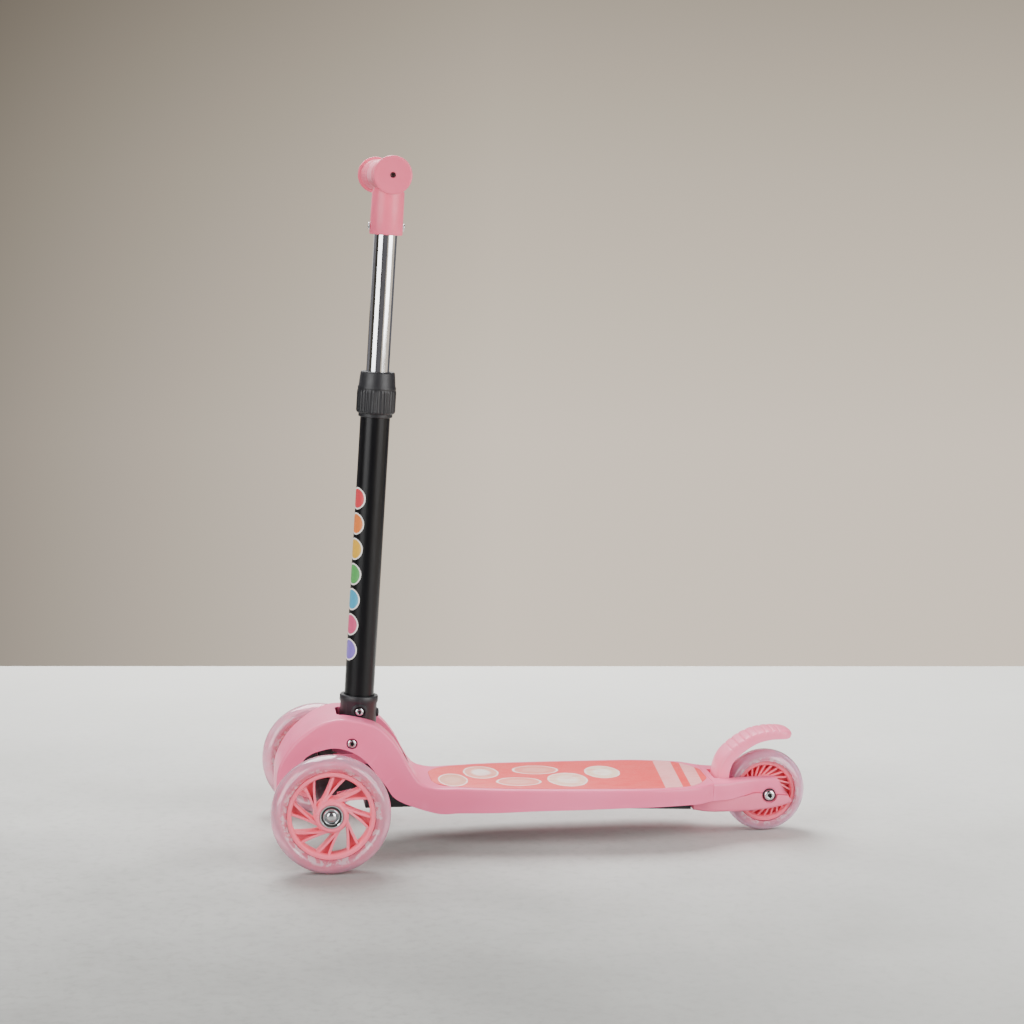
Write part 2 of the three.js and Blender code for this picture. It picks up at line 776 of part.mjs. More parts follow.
// Chassis keel: a channel under the deck whose front rises into the block that holds the steering bolt
function chassisKeel() {
  const front = behind(keelBlockFront);
  const rear = behind(keelRear);
  const blockRear = behind(keelBlockRear);
  const bar = across(
    [
      [blockRear - overrun, keelBottomFront], [rear, keelBottomRear],
      [rear, keelTop], [blockRear - overrun, keelTop],
    ],
    -keelHalfWidth, keelHalfWidth,
  );
  const trough = across(
    [
      [blockRear + keelWall, keelBottomFront + keelWall], [rear - keelWall, keelBottomRear + keelWall],
      [rear - keelWall, keelTop + overrun], [blockRear + keelWall, keelTop + overrun],
    ],
    keelWall - keelHalfWidth, keelHalfWidth - keelWall,
  );
  const slope = upperEdgeBetween(keelBlockFront, keelBlockRear, keelTop).filter(([, z]) => z < keelBlockTop);
  const block = across(
    [[front, keelBottomFront], [blockRear, keelBottomFront], ...slope.reverse(), [front, keelBlockTop]],
    -mountHalfWidth, mountHalfWidth,
  ).subtract(shellMaterial());
  const boss = alongPivot(rod(pivotBossRadius, -pivotSeat, -barrelEnd, wideSides));
  const pocket = alongPivot(rod(pivotNutRadius + clearance, -pivotEnd - pivotSeat, -pivotSeat));
  return cut(join([block, bar.subtract(trough), boss]), [pivotHole(), pocket, ...keelScrewHoles()]);
}

function keelBottomAt(distance) {
  const share = (distance - keelBlockRear) / (keelRear - keelBlockRear);
  return keelBottomFront + (keelBottomRear - keelBottomFront) * share;
}

const keelScrewFront = archRun + keelScrewGap;
const keelScrewRear = keelRear - keelScrewEndGap;

const keelScrewPlaces = Array.from({ length: keelScrews }, (_, i) => {
  const distance = THREE.MathUtils.lerp(keelScrewFront, keelScrewRear, i / (keelScrews - 1));
  return { x: 0, y: behind(distance), z: keelBottomAt(distance) + screwHeadHeight };
});

function keelScrewHoles() {
  return keelScrewPlaces.map(({ x, y, z }) => place(screwHole(), x, y, z));
}

// Front mount: two legs under the arch, the rear one seating the steering bolt's head
function frontMount() {
  const crown = upperEdgeBetween(-frontLegFace, mountRear, mountBottom).reverse();
  const legs = across(
    [
      [behind(-frontLegFace), mountBottom], [behind(-frontLegBack), mountBottom],
      [behind(-frontLegBack), mountNotchBottom], [behind(-rearLegFace), mountNotchBottom],
      [behind(-rearLegFace), mountBottom], [behind(mountRear), mountBottom],
      ...crown,
    ],
    -mountHalfWidth, mountHalfWidth,
  ).subtract(shellMaterial());
  const slotRoom = box(
    -slotHalfWidth - slotWall - clearance, slotHalfWidth + slotWall + clearance,
    behind(slotFront - slotWall - clearance), behind(slotRear), slotFloor - clearance, archHeight,
  );
  const boss = alongPivot(rod(pivotBossRadius, barrelEnd, pivotSeat, wideSides));
  const pocket = alongPivot(rod(pivotNutRadius + clearance, pivotSeat, archHeight));
  return cut(legs.add(boss), [pivotHole(), pocket, slotRoom]);
}

function steeringBolt() {
  const shank = rod(pivotBoltRadius, -pivotEnd, pivotSeat + clearance);
  const head = rod(pivotNutRadius, pivotSeat + clearance, pivotEnd, hexagonSides);
  return alongPivot(shank.add(head));
}

function steeringNut() {
  const nut = rod(pivotNutRadius, -pivotEnd, -pivotSeat - clearance, hexagonSides);
  return alongPivot(nut).subtract(pivotHole());
}

// Button head with a rounded crown and a hexagon socket, its seat at zero and its crown upwards
function buttonHead(radius, height) {
  const crown = quarter(2).map(([a, b]) => [
    radius * (headFlatShare + (1 - headFlatShare) * a),
    height * (headSideShare + (1 - headSideShare) * b),
  ]);
  const head = turned([[0, 0], [radius, 0], ...crown, [0, height]], smallSides);
  const socket = rod(radius * headSocketShare, height * headFloorShare, height + overrun, hexagonSides);
  return head.subtract(socket);
}

// A bolt along Z whose shank ends inside its button head, over a seat
function bolt(radius, seat, headRadius, headHeight) {
  const headFrom = seat + clearance;
  const shank = rod(radius, -seat, headFrom + clearance, smallSides);
  return shank.add(place(buttonHead(headRadius, headHeight), 0, 0, headFrom));
}

function foldBolt() {
  const whole = bolt(foldBoltRadius, foldSeat, foldBoltHead, foldBoltHeadHeight);
  return place(alongX(whole), 0, foldPoint.y, foldPoint.z);
}

function foldNut() {
  const head = place(buttonHead(foldBoltHead, foldBoltHeadHeight), 0, 0, foldSeat + clearance);
  return place(alongX(head, -1), 0, foldPoint.y, foldPoint.z);
}

const rearSeat = forkHalfWidth - forkRecessDepth;

function rearAxleBolt() {
  const whole = bolt(axleRadius, rearSeat, rearBoltHead, foldBoltHeadHeight);
  return place(alongX(whole), 0, rearAxleY, rearWheelRadius);
}

function rearAxleNut() {
  const head = place(buttonHead(rearBoltHead, foldBoltHeadHeight), 0, 0, rearSeat + clearance);
  return place(alongX(head, -1), 0, rearAxleY, rearWheelRadius);
}

// Sleeve on the rear axle, through both bearings and up to the fork's arms
function rearSleeve() {
  const end = forkGapHalfWidth - clearance;
  return place(alongX(ring(axleRadius + boreGap, sleeveRadius, -end, end)), 0, rearAxleY, rearWheelRadius);
}

function brakePin() {
  const end = forkHalfWidth - wall - clearance;
  const pin = alongX(rod(brakePinRadius, -end, end, smallSides));
  return place(pin, 0, behind(brakePinBehind), brakePinHeight);
}

// Front axle beam: a barrel on the steering bolt, a web down to the axle, and an arm to each wheel.
// Stations along half the beam as shares of its length, and its depth and height there as a share.
const beamShares = [
  [-1, 0.8],
  [-0.5, 1],
  [-0.16, 1],
  [0.16, 1],
  [0.5, 1],
  [1, 0.8],
];
const beamSquareShare = 0.62; // below one, the beam's oval section grows squarer
const beamEndX = wheelX - tyreWidth / 2 - beamWheelGap;

function beamSection(x, depth, height) {
  const squarer = (value) => Math.sign(value) * Math.abs(value) ** beamSquareShare;
  return arc(0, 0, 1, 0, 2 * Math.PI, beamSides)
    .slice(0, -1)
    .map(([a, b]) => {
      const y = frontAxleY + (squarer(a) * depth) / 2;
      const z = frontWheelRadius + (squarer(b) * height) / 2;
      return new THREE.Vector3(x, y, z);
    });
}

function axleBeam() {
  const rings = beamShares.map(([run, size]) =>
    beamSection(run * beamEndX, beamDepth * size, beamHeight * size),
  );
  const web = across(
    [
      [frontAxleY - webHalfDepth, frontWheelRadius - beamHeight / 2],
      [pivot.y + webReach, pivot.z - barrelHalfLength],
      [pivot.y + webReach, pivot.z],
      [frontAxleY + webHalfDepth, frontWheelRadius + beamHeight / 2],
    ],
    -webHalfWidth, webHalfWidth,
  );
  const bossRoom = rod(bossRoomRadius, barrelHalfLength, pivotSeat);
  const barrel = alongPivot(rod(pivotBossRadius, -barrelHalfLength, barrelHalfLength, wideSides));
  const bore = alongPivot(rod(bushRadius + boreGap, -pivotSeat, pivotSeat));
  const axleHole = alongX(rod(axleRadius + boreGap, -wheelX, wheelX));
  const arms = cut(loft(rings).add(web), [alongPivot(bossRoom), alongPivot(bossRoom.mirror([0, 0, 1]))]);
  return cut(arms.add(barrel), [bore, place(axleHole, 0, frontAxleY, frontWheelRadius)]);
}

// One of the two bushes that line the barrel, at its upper front end or its lower rear end
function steeringBush(end) {
  const bush = ring(pivotBoltRadius + boreGap, bushRadius, clearance / 2, barrelHalfLength);
  return alongPivot(end > 0 ? bush : bush.mirror([0, 0, 1]));
}

const axleCapSeat = wheelX + tyreWidth / 2 - axleCapHeight;

function axleRod() {
  const end = axleCapSeat - clearance;
  return place(alongX(rod(axleRadius, -end, end)), 0, frontAxleY, frontWheelRadius);
}

function axleCap(side) {
  const crown = quarter(2).map(([a, b]) => [
    axleCapRadius * a,
    axleCapHeight * (headSideShare + (1 - headSideShare) * b),
  ]);
  const cap = turned([[0, 0], [axleCapRadius, 0], ...crown], roundSides);
  return place(alongX(place(cap, 0, 0, axleCapSeat), side), 0, frontAxleY, frontWheelRadius);
}

// Sleeve from the beam's end through both bearings, under the axle cap
function frontSleeve(side) {
  const tube = ring(axleRadius + boreGap, sleeveRadius, beamEndX + clearance, axleCapSeat - clearance);
  return place(alongX(tube, side), 0, frontAxleY, frontWheelRadius);
}

// Wheel parts, each turned about Z and centred on zero. They are turned by half a facet so that a flat
// faces the floor, and the tyre is so much wider that this flat lies at the true radius.
const halfFacet = 180 / wheelSides;
const flatShare = 1 / Math.cos(Math.PI / wheelSides);

function tyre(radius, seatRadius) {
  const foot = seatRadius + clearance;
  const crown = arc(0, 0, 1, -Math.PI / 2, Math.PI / 2, 6).map(([a, b]) => [
    radius * flatShare - (tyreWidth / 2) * tyreCrownShare * (1 - a),
    (tyreWidth / 2) * b,
  ]);
  const groove = lampWidth / 2 + clearance;
  const grooveTop = foot + lampDepth;
  return turned(
    [
      [foot, -tyreFoot], ...crown, [foot, tyreFoot], [foot, groove], [grooveTop, groove],
      [grooveTop, -groove], [foot, -groove], [foot, -tyreFoot],
    ],
    wheelSides,
  ).rotate([0, 0, halfFacet]);
}

// Ring that lies on the rim inside the tyre, with a rounded lamp at equal steps
function lampRing(seatRadius, lamps) {
  const foot = seatRadius + clearance;
  const band = ring(foot, foot + lampBand, -lampWidth / 2, lampWidth / 2, wheelSides);
  const lumps = Array.from({ length: lamps }, (_, i) => {
    const geometry = new THREE.SphereGeometry(1, 6, 4);
    geometry.scale(lampLength / 2, lampDepth - lampBand, lampWidth / 2);
    geometry.translate(0, foot + lampBand / 2, 0);
    geometry.rotateZ((2 * Math.PI * i) / lamps);
    return solid(geometry);
  });
  const core = rod(foot + lampBand / 2, -lampWidth, lampWidth, wheelSides);
  return cut(join(lumps), [core]).add(band).rotate([0, 0, halfFacet]);
}

// A swept window between two spokes, as [x, y] points: its first angle, the angle that it spans at the
// band, and the share of that which it spans at the hub
function sweptWindow(innerRadius, outerRadius, angle, span, hubShare) {
  const steps = 2;
  const pass = innerRadius * spokeLeanShare;
  const edge = (share, offset) => {
    const radius = innerRadius + (outerRadius - innerRadius) * share;
    const sweep = Math.acos(pass / radius) - Math.acos(spokeLeanShare);
    const turn = angle - sweep + offset * (hubShare + (1 - hubShare) * share);
    return [radius * Math.cos(turn), radius * Math.sin(turn)];
  };
  const one = Array.from({ length: steps + 1 }, (_, i) => edge(i / steps, -span / 2));
  const other = Array.from({ length: steps + 1 }, (_, i) => edge(1 - i / steps, span / 2));
  return [...one, edge(1, 0), ...other];
}

const wideWindowShare = 0.62; // of the pitch of a pair of spokes, the narrow one has the rest
const wideHubShare = 0.72;
const narrowHubShare = 0.35;

// Cutters of the front rims: open windows between the pairs, and a recess inside each pair on both faces
function windowCutters(hub, band, pairs) {
  const pitch = (2 * Math.PI) / pairs;
  const spoke = spokeThickness / band;
  const from = hub + windowGap;
  const to = band - windowGap;
  return Array.from({ length: pairs }, (_, i) => {
    const wide = sweptWindow(from, to, i * pitch, pitch * wideWindowShare - spoke, wideHubShare);
    const narrowSpan = pitch * (1 - wideWindowShare) - spoke;
    const narrow = sweptWindow(from + spokeThickness, to, (i + 0.5) * pitch, narrowSpan, narrowHubShare);
    return [
      upward(wide, -tyreWidth / 2, tyreWidth / 2),
      upward(narrow, pocketWeb / 2, rimWebWidth),
      upward(narrow, -rimWebWidth, -pocketWeb / 2),
    ];
  }).flat();
}

// Cutters of the rear rim: blind swept pockets on both faces
function pocketCutters(hub, band, pockets) {
  const pitch = (2 * Math.PI) / pockets;
  const span = pitch - spokeThickness / band;
  return Array.from({ length: pockets }, (_, i) => {
    const pocket = sweptWindow(hub + windowGap, band - windowGap, i * pitch, span, wideHubShare);
    return [upward(pocket, pocketWeb / 2, rimWebWidth), upward(pocket, -rimWebWidth, -pocketWeb / 2)];
  }).flat();
}

function rim(radius, cutters) {
  const bandInner = radius - rimBandThickness;
  const web = rod(bandInner + rimBandThickness / 2, -rimWebWidth / 2, rimWebWidth / 2, wheelSides);
  const band = ring(bandInner, radius, -rimBandHalfWidth, rimBandHalfWidth, wheelSides);
  const hub = bearingRadius + hubWall;
  const barrel = rod(hub, -tyreWidth / 2, tyreWidth / 2, wideSides);
  const bore = rod(sleeveRadius + hubBoreGap, -tyreWidth, tyreWidth);
  const seatFrom = tyreWidth / 2 - bearingInset - bearingWidth - clearance;
  const seat = rod(bearingRadius + clearance, seatFrom, tyreWidth, roundSides);
  const body = cut(join([web, band, barrel]), cutters(hub, bandInner));
  return cut(body, [bore, seat, seat.mirror([0, 0, 1])]).rotate([0, 0, halfFacet]);
}

function frontRim() {
  return rim(frontRimRadius, (hub, band) => windowCutters(hub, band, frontSpokePairs));
}

function rearRim() {
  return rim(rearRimRadius, (hub, band) => pocketCutters(hub, band, rearPockets));
}

function bearing(side) {
  const outer = tyreWidth / 2 - bearingInset;
  const body = ring(sleeveRadius + clearance, bearingRadius, outer - bearingWidth, outer);
  return side > 0 ? body : body.mirror([0, 0, 1]);
}

// Brake fender: a curved skin with a skirt along both edges, on a lug that turns on the brake pin.
// Crown points from the lug to the tip, as shares of the rear wheel's radius, from the rear axle.
const fenderShares = [
  [-1.275, 0.22],
  [-1.26, 0.44],
  [-1.215, 0.66],
  [-1.1, 0.91],
  [-0.88, 1.14],
  [-0.6, 1.34],
  [-0.3, 1.48],
  [0.02, 1.545],
  [0.3, 1.545],
  [0.5, 1.525],
  [0.6, 1.475],
  [0.645, 1.4],
];
const fenderTipShare = 0.86; // of its length, where the tip begins to round
const fenderTipEndShare = 0.35; // width that is left at the very tip
const fenderRibShares = [0.34, 0.82]; // the cross ribs lie between these
const fenderRibStep = 2; // every second ring is a rib
const fenderEdgeShare = 0.7; // of the half width, where the crown starts to fall

// The skin's section as [x, height over the crown line], for a half width, a skirt and a rib's depth
function fenderSection(half, skirt, rib) {
  const inner = half - fenderSkin;
  const over = [
    [-half, -skirt], [-half, -fenderCrown - rib], [-half * fenderEdgeShare, -fenderCrown / 2 - rib],
  ];
  const under = [[inner, -skirt], [inner, -fenderCrown - fenderSkin]];
  return [
    ...over, [0, -rib], ...over.map(([x, h]) => [-x, h]).reverse(),
    ...under, [0, -fenderSkin], ...under.map(([x, h]) => [-x, h]).reverse(),
  ];
}

function fender() {
  const crown = new THREE.SplineCurve(
    fenderShares.map(([run, height]) => {
      const up = rearWheelRadius + height * rearWheelRadius;
      return new THREE.Vector2(run * rearWheelRadius, up);
    }),
  );
  const [ribsFrom, ribsTo] = fenderRibShares;
  const rings = Array.from({ length: fenderSteps + 1 }, (_, i) => {
    const share = i / fenderSteps;
    const middle = crown.getPoint(share);
    const along = crown.getTangent(share);
    const toTip = Math.max(share - fenderTipShare, 0) / (1 - fenderTipShare);
    const rounding = fenderTipEndShare + (1 - fenderTipEndShare) * Math.sqrt(1 - toTip ** 2);
    const ribbed = share > ribsFrom && share < ribsTo && i % fenderRibStep === 0;
    const falling = THREE.MathUtils.lerp(fenderFootSkirt, fenderTipSkirt, share);
    const skirt = THREE.MathUtils.lerp(fenderEndSkirt, falling, Math.sqrt(1 - toTip ** 2));
    return fenderSection(fenderHalfWidth * rounding, skirt, ribbed ? fenderRibDepth : 0).map(
      ([x, h]) => new THREE.Vector3(x, rearAxleY + middle.x - along.y * h, middle.y + along.x * h),
    );
  });
  const lug = rod(brakeLugRadius, -fenderHalfWidth, fenderHalfWidth);
  const hole = rod(brakePinRadius + boreGap, -forkHalfWidth, forkHalfWidth, smallSides);
  const onPin = (part) => place(alongX(part), 0, behind(brakePinBehind), brakePinHeight);
  return loft(rings).add(onPin(lug)).subtract(onPin(hole));
}

// Stem socket: everything of the stem stands along Z here, and then leans back as one group
function stemSocket() {
  const barrel = turned(
    [
      [0, socketShoulder], [socketRadius + socketFlare, socketShoulder],
      [socketRadius, socketTop - socketRim],
      [socketRadius - socketRim / 2, socketTop], [0, socketTop],
    ],
    wideSides,
  );
  const foot = across(
    [
      [socketRadius, socketShoulder + overrun], [-socketRadius, socketShoulder + overrun],
      [-socketRadius, socketShoulder],
      ...arc(-foldForward, foldAlong, socketLugRadius, Math.PI, Math.PI + socketLugSweep, 7),
      [socketRadius, socketShoulder],
    ],
    -socketRadius, socketRadius,
  ).intersect(rod(socketRadius, foldAlong - socketRadius, socketTop, wideSides));
  const bossEnd = socketRadius + clampBossHeight;
  const boss = onClamp(rod(clampBossRadius, -bossEnd, bossEnd, wideSides));
  const tubeSeat = lowerTubeBottom - clearance;
  const tubeRoom = rod(lowerTubeRadius + clearance, tubeSeat, socketTop + overrun, wideSides);
  const foldHole = rod(foldBoltRadius + boreGap, -socketRadius - overrun, socketRadius + overrun);
  const clampHole = rod(clampBoltRadius + boreGap, -bossEnd - overrun, bossEnd + overrun);
  const seat = rod(clampHeadRadius + clampSeatGap, clampSeat, bossEnd + overrun);
  const well = rod(buttonRadius + clearance, 0, socketRadius + overrun);
  return cut(join([barrel, foot, boss]), [
    tubeRoom,
    place(alongX(foldHole), 0, -foldForward, foldAlong),
    onClamp(join([clampHole, seat, seat.mirror([0, 0, 1])])),
    onButton(well),
  ]);
}

const clampSeat = socketRadius - clearance;

// Lays a solid along the clamp bolt's axis
function onClamp(part) {
  return place(alongX(part), 0, 0, clampHeight);
}

// Lays a solid along the lock button's axis
function onButton(part) {
  return place(alongY(part), 0, 0, buttonHeight);
}

function clampBolt() {
  return onClamp(bolt(clampBoltRadius, clampSeat, clampHeadRadius, clampBossHeight));
}

function clampNut() {
  const head = place(buttonHead(clampHeadRadius, clampBossHeight), 0, 0, clampSeat + clearance);
  return place(alongX(head, -1), 0, 0, clampHeight);
}

// Lock button: a round cap in its well at the back of the socket
function lockButton() {
  const outer = socketRadius + buttonProud;
  const crown = quarter(2).map(([a, b]) => [
    buttonRadius * (headFlatShare + (1 - headFlatShare) * a),
    outer - (buttonProud / 2) * (1 - b),
  ]);
  const inner = lowerTubeRadius;
  return onButton(turned([[0, inner], [buttonRadius, inner], ...crown, [0, outer]], roundSides));
}

// Lower tube: open at both ends, with the clamp bolt's holes and room for the lock button
function lowerTube() {
  const tube = ring(lowerTubeRadius - lowerTubeWall, lowerTubeRadius, lowerTubeBottom, tubeMouth, wideSides);
  const clampHole = rod(clampBoltRadius + boreGap, -socketRadius, socketRadius);
  const buttonHole = rod(buttonRadius + clearance, 0, socketRadius);
  return cut(tube, [onClamp(clampHole), onButton(buttonHole)]);
}

// Bush inside the lower tube's mouth, on which the chrome tube slides
function tubeBush() {
  const outer = lowerTubeRadius - lowerTubeWall - boreGap;
  return ring(upperTubeRadius + clearance, outer, tubeMouth - bushLength, tubeMouth, wideSides);
}

// Twist collar: a cone over a grooved grip, with a short neck below
function twistCollar() {
  const inner = lowerTubeRadius + clearance;
  const neckTop = collarBottom + wall;
  const lip = upperTubeRadius + collarLipGap;
  const roof = collarTop - collarRoof;
  const body = turned(
    [
      [inner, collarBottom], [collarNeckRadius, collarBottom], [collarNeckRadius, neckTop],
      [collarRadius, neckTop + wall / 2], [collarRadius, collarGripTop - wall / 2],
      [collarRadius - wall / 2, collarGripTop], [collarNeckRadius, collarTop - collarTopEdge],
      [collarNeckRadius - collarTopEdge, collarTop], [lip, collarTop], [lip, roof],
      [inner, roof], [inner, collarBottom],
    ],
    collarGrooves * 2,
  );
  const groove = rod(collarGrooveRadius, neckTop + wall, collarGripTop - wall, hexagonSides);
  const grooves = Array.from({ length: collarGrooves }, (_, i) =>
    place(groove, collarRadius, 0, 0).rotate([0, 0, (360 * i) / collarGrooves]),
  );
  return cut(body, grooves);
}

function upperTube() {
  const top = handleSocketBottom + handleSocketBore - clearance;
  const tube = ring(upperTubeRadius - upperTubeWall, upperTubeRadius, upperTubeBottom, top, wideSides);
  return tube.subtract(handleScrewHoles());
}

// Plug in the chrome tube's lower end, with a collar that runs in the lower tube
function tubePlug() {
  const guide = lowerTubeRadius - lowerTubeWall - clearance;
  const stub = upperTubeRadius - upperTubeWall - boreGap;
  const seat = upperTubeBottom - clearance;
  return turned(
    [
      [0, seat - plugLength], [guide, seat - plugLength], [guide, seat],
      [stub, seat], [stub, seat + plugLength], [0, seat + plugLength],
    ],
    wideSides,
  );
}

// T-handle: a socket for the chrome tube under a crossbar with a spigot for each grip
const gripEnd = handlebarWidth / 2 - capThickness;

function handleScrewHoles() {
  const reach = handleSocketRadius + overrun;
  return place(alongY(rod(handleScrewRadius + boreGap, -reach, reach, smallSides)), 0, 0, handleScrewAlong);
}

function handleCore() {
  const socket = turned(
    [
      [0, handleSocketBottom], [handleSocketRadius - handleEdge, handleSocketBottom],
      [handleSocketRadius, handleSocketBottom + handleEdge],
      [handleSocketRadius - handleEdge, handleHeight - crossbarRadius],
      [crossbarRadius - crossbarForward - handleEdge, handleHeight], [0, handleHeight],
    ],
    wideSides,
  );
  const crossbar = turned(
    [
      [0, -gripEnd], [spigotRadius, -gripEnd], [spigotRadius, -crossbarHalfLength],
      [crossbarRadius, -crossbarHalfLength], [crossbarRadius, crossbarHalfLength],
      [spigotRadius, crossbarHalfLength], [spigotRadius, gripEnd], [0, gripEnd],
    ],
    roundSides,
  );
  const boreTop = handleSocketBottom + handleSocketBore;
  const bore = rod(upperTubeRadius + boreGap, handleSocketBottom - overrun, boreTop, wideSides);
  const bar = place(alongX(crossbar), 0, -crossbarForward, handleHeight);
  return cut(socket.add(bar), [bore, handleScrewHoles()]);
}

// One grip along +Z from the crossbar to its end cap, with shallow grooves round it
function grip() {
  const from = crossbarHalfLength + clearance;
  const inner = spigotRadius + clearance;
  const start = from + gripShoulder;
  const pitch = (gripEnd - start) / (gripGrooves + 1);
  const grooves = Array.from({ length: gripGrooves }, (_, i) => {
    const middle = start + pitch * (i + 1);
    return [
      [gripRadius, middle - pitch / 3],
      [gripRadius - gripGroove, middle],
      [gripRadius, middle + pitch / 3],
    ];
  }).flat();
  return turned(
    [
      [inner, from], [crossbarRadius, from], [gripRadius, start], ...grooves,
      [gripRadius, gripEnd], [inner, gripEnd], [inner, from],
    ],
    roundSides,
  );
}

// End cap of a grip, its face outwards along +Z, with a lip round it and a small round hole
function endCap() {
  const from = gripEnd + clearance;
  const to = handlebarWidth / 2;
  const face = to - capDish;
  const holeFloor = to - capHoleDepth;
  return turned(
    [
      [0, from], [capRadius - capEdge, from], [capRadius, from + capEdge], [capRadius, to - capEdge],
      [capRadius - capEdge, to], [capRadius - capLip, to], [capRadius - capLip - capEdge, face],
      [capHole, face], [capHole, holeFloor], [0, holeFloor],
    ],
    wideSides,
  );
}

// Handle screw along +Z, its head standing proud of the socket
function handleScrew() {
  const seat = handleSocketRadius + clearance;
  const tip = upperTubeRadius - handleScrewReach;
  const shank = rod(handleScrewRadius, tip, seat + clearance, smallSides);
  return shank.add(place(buttonHead(handleScrewHead, handleScrewProud), 0, 0, seat));
}

// Scene graph
function node(name, part, material) {
  const mesh = part.getMesh();
  const geometry = new THREE.BufferGeometry();
  geometry.setAttribute("position", new THREE.Float32BufferAttribute(mesh.vertProperties, 3));
  geometry.setIndex(Array.from(mesh.triVerts));
  geometry.computeVertexNormals();
  const object = new THREE.Mesh(geometry, material);
  object.name = name;
  return object;
}

function groupOf(children) {
  const group = new THREE.Group();
  group.add(...children);
  return group;
}

function screwNodes(name, places) {
  return places.map(({ x, y, z }, i) => node(`${name}_${i + 1}`, place(screw(), x, y, z), steel));
}

function deckGroup() {
  return groupOf([
    node("deck_shell", deckShell(), pink),
    node("deck_panel", deckPanel(), coral),
    node("rear_cover", rearCover(), pink),
    node("chassis_keel", chassisKeel(), black),
    node("front_mount", frontMount(), black),
    node("steering_bolt", steeringBolt(), steel),
    node("steering_nut", steeringNut(), steel),
    node("fold_bolt", foldBolt(), chrome),
    node("fold_nut", foldNut(), chrome),
    node("rear_axle_bolt", rearAxleBolt(), chrome),
    node("rear_axle_nut", rearAxleNut(), chrome),
    node("rear_sleeve", rearSleeve(), steel),
    node("brake_pin", brakePin(), steel),
    ...screwNodes("keel_screw", keelScrewPlaces),
    ...screwNodes("cover_screw", coverScrewPlaces),
  ]);
}

const sides = [
  ["left", 1],
  ["right", -1],
];

function truckGroup() {
  return groupOf([
    node("axle_beam", axleBeam(), black),
    node("steering_bush_front", steeringBush(1), steel),
    node("steering_bush_rear", steeringBush(-1), steel),
    node("axle_rod", axleRod(), steel),
    ...sides.flatMap(([name, side]) => [
      node(`front_sleeve_${name}`, frontSleeve(side), steel),
      node(`axle_cap_${name}`, axleCap(side), chrome),
    ]),
  ]);
}

// A wheel on its axle: its Z axis is turned to X
function wheelGroup(name, radius, rimRadius, rimSolid, lamps, x, y) {
  const wheel = groupOf([
    node(`${name}_rim`, rimSolid, rimPink),
    node(`${name}_tyre`, tyre(radius, rimRadius), clearPink),
    node(`${name}_lamps`, lampRing(rimRadius, lamps), lampWhite),
    node(`${name}_bearing_left`, bearing(1), steel),
    node(`${name}_bearing_right`, bearing(-1), steel),
  ]);
  wheel.rotation.y = Math.PI / 2;
  wheel.position.set(x, y, radius);
  return wheel;
}

function frontWheel(name, side) {
  const x = side * wheelX;
  const whole = `wheel_${name}`;
  return wheelGroup(whole, frontWheelRadius, frontRimRadius, frontRim(), frontLamps, x, frontAxleY);
}

function gripGroup(name, side) {
  const end = groupOf([node(`grip_${name}`, grip(), pink), node(`grip_cap_${name}`, endCap(), pink)]);
  end.rotation.y = (side * Math.PI) / 2;
  end.position.set(0, -crossbarForward, handleHeight);
  return end;
}

function handleScrewNode(name, side) {
  const mesh = node(`handle_screw_${name}`, handleScrew(), chrome);
  mesh.rotation.x = (side * Math.PI) / 2;
  mesh.position.z = handleScrewAlong;
  return mesh;
}

function stemGroup() {
  const stem = groupOf([
    node("stem_socket", stemSocket(), black),
    node("clamp_bolt", clampBolt(), chrome),
    node("clamp_nut", clampNut(), chrome),
    node("lock_button", lockButton(), black),
    node("lower_tube", lowerTube(), blackPaint),
    node("tube_bush", tubeBush(), black),
    node("twist_collar", twistCollar(), black),
    node("upper_tube", upperTube(), chrome),
    node("tube_plug", tubePlug(), black),
    node("handle_core", handleCore(), pink),
    ...sides.map(([name, side]) => gripGroup(name, side)),
    handleScrewNode("front", 1),
    handleScrewNode("rear", -1),
  ]);
  stem.rotation.x = -stemLean;
  stem.position.y = behind(stemBehind);
  return stem;
}

const scooter = new THREE.Group();
scooter.add(
  deckGroup(),
  truckGroup(),
  ...sides.map(([name, side]) => frontWheel(name, side)),
  wheelGroup("wheel_rear", rearWheelRadius, rearRimRadius, rearRim(), rearLamps, 0, rearAxleY),
  node("brake_fender", fender(), pink),
  stemGroup(),
);

export default scooter;
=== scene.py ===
"""Looks of the three wheel kids scooter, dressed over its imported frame.

Lengths are in millimetres until a mesh is made, and then in metres. Runs are measured backwards from the
front axle, as in the CAD model. Wheels and the stem have a frame of their own, with their axis along Z.
A profile is a list of (radius, height) points that is turned about Z.
"""

import bmesh
import bpy
from math import acos, atan2, cos, pi, radians, sin, sqrt
from mathutils import Matrix, Vector


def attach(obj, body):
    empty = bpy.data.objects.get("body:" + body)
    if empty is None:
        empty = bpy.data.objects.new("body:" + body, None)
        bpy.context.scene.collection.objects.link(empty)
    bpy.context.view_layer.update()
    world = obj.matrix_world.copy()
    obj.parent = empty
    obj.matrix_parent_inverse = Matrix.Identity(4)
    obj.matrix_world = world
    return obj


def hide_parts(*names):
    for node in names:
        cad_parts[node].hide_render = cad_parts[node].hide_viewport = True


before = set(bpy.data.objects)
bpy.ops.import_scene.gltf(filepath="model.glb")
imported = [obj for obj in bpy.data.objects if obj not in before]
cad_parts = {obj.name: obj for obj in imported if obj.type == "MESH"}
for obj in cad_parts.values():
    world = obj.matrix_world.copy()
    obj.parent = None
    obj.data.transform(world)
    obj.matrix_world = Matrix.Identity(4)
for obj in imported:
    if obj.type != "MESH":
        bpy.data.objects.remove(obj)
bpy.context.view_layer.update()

MM = 0.001
BOTH_SIDES = ((1, "left"), (-1, "right"))

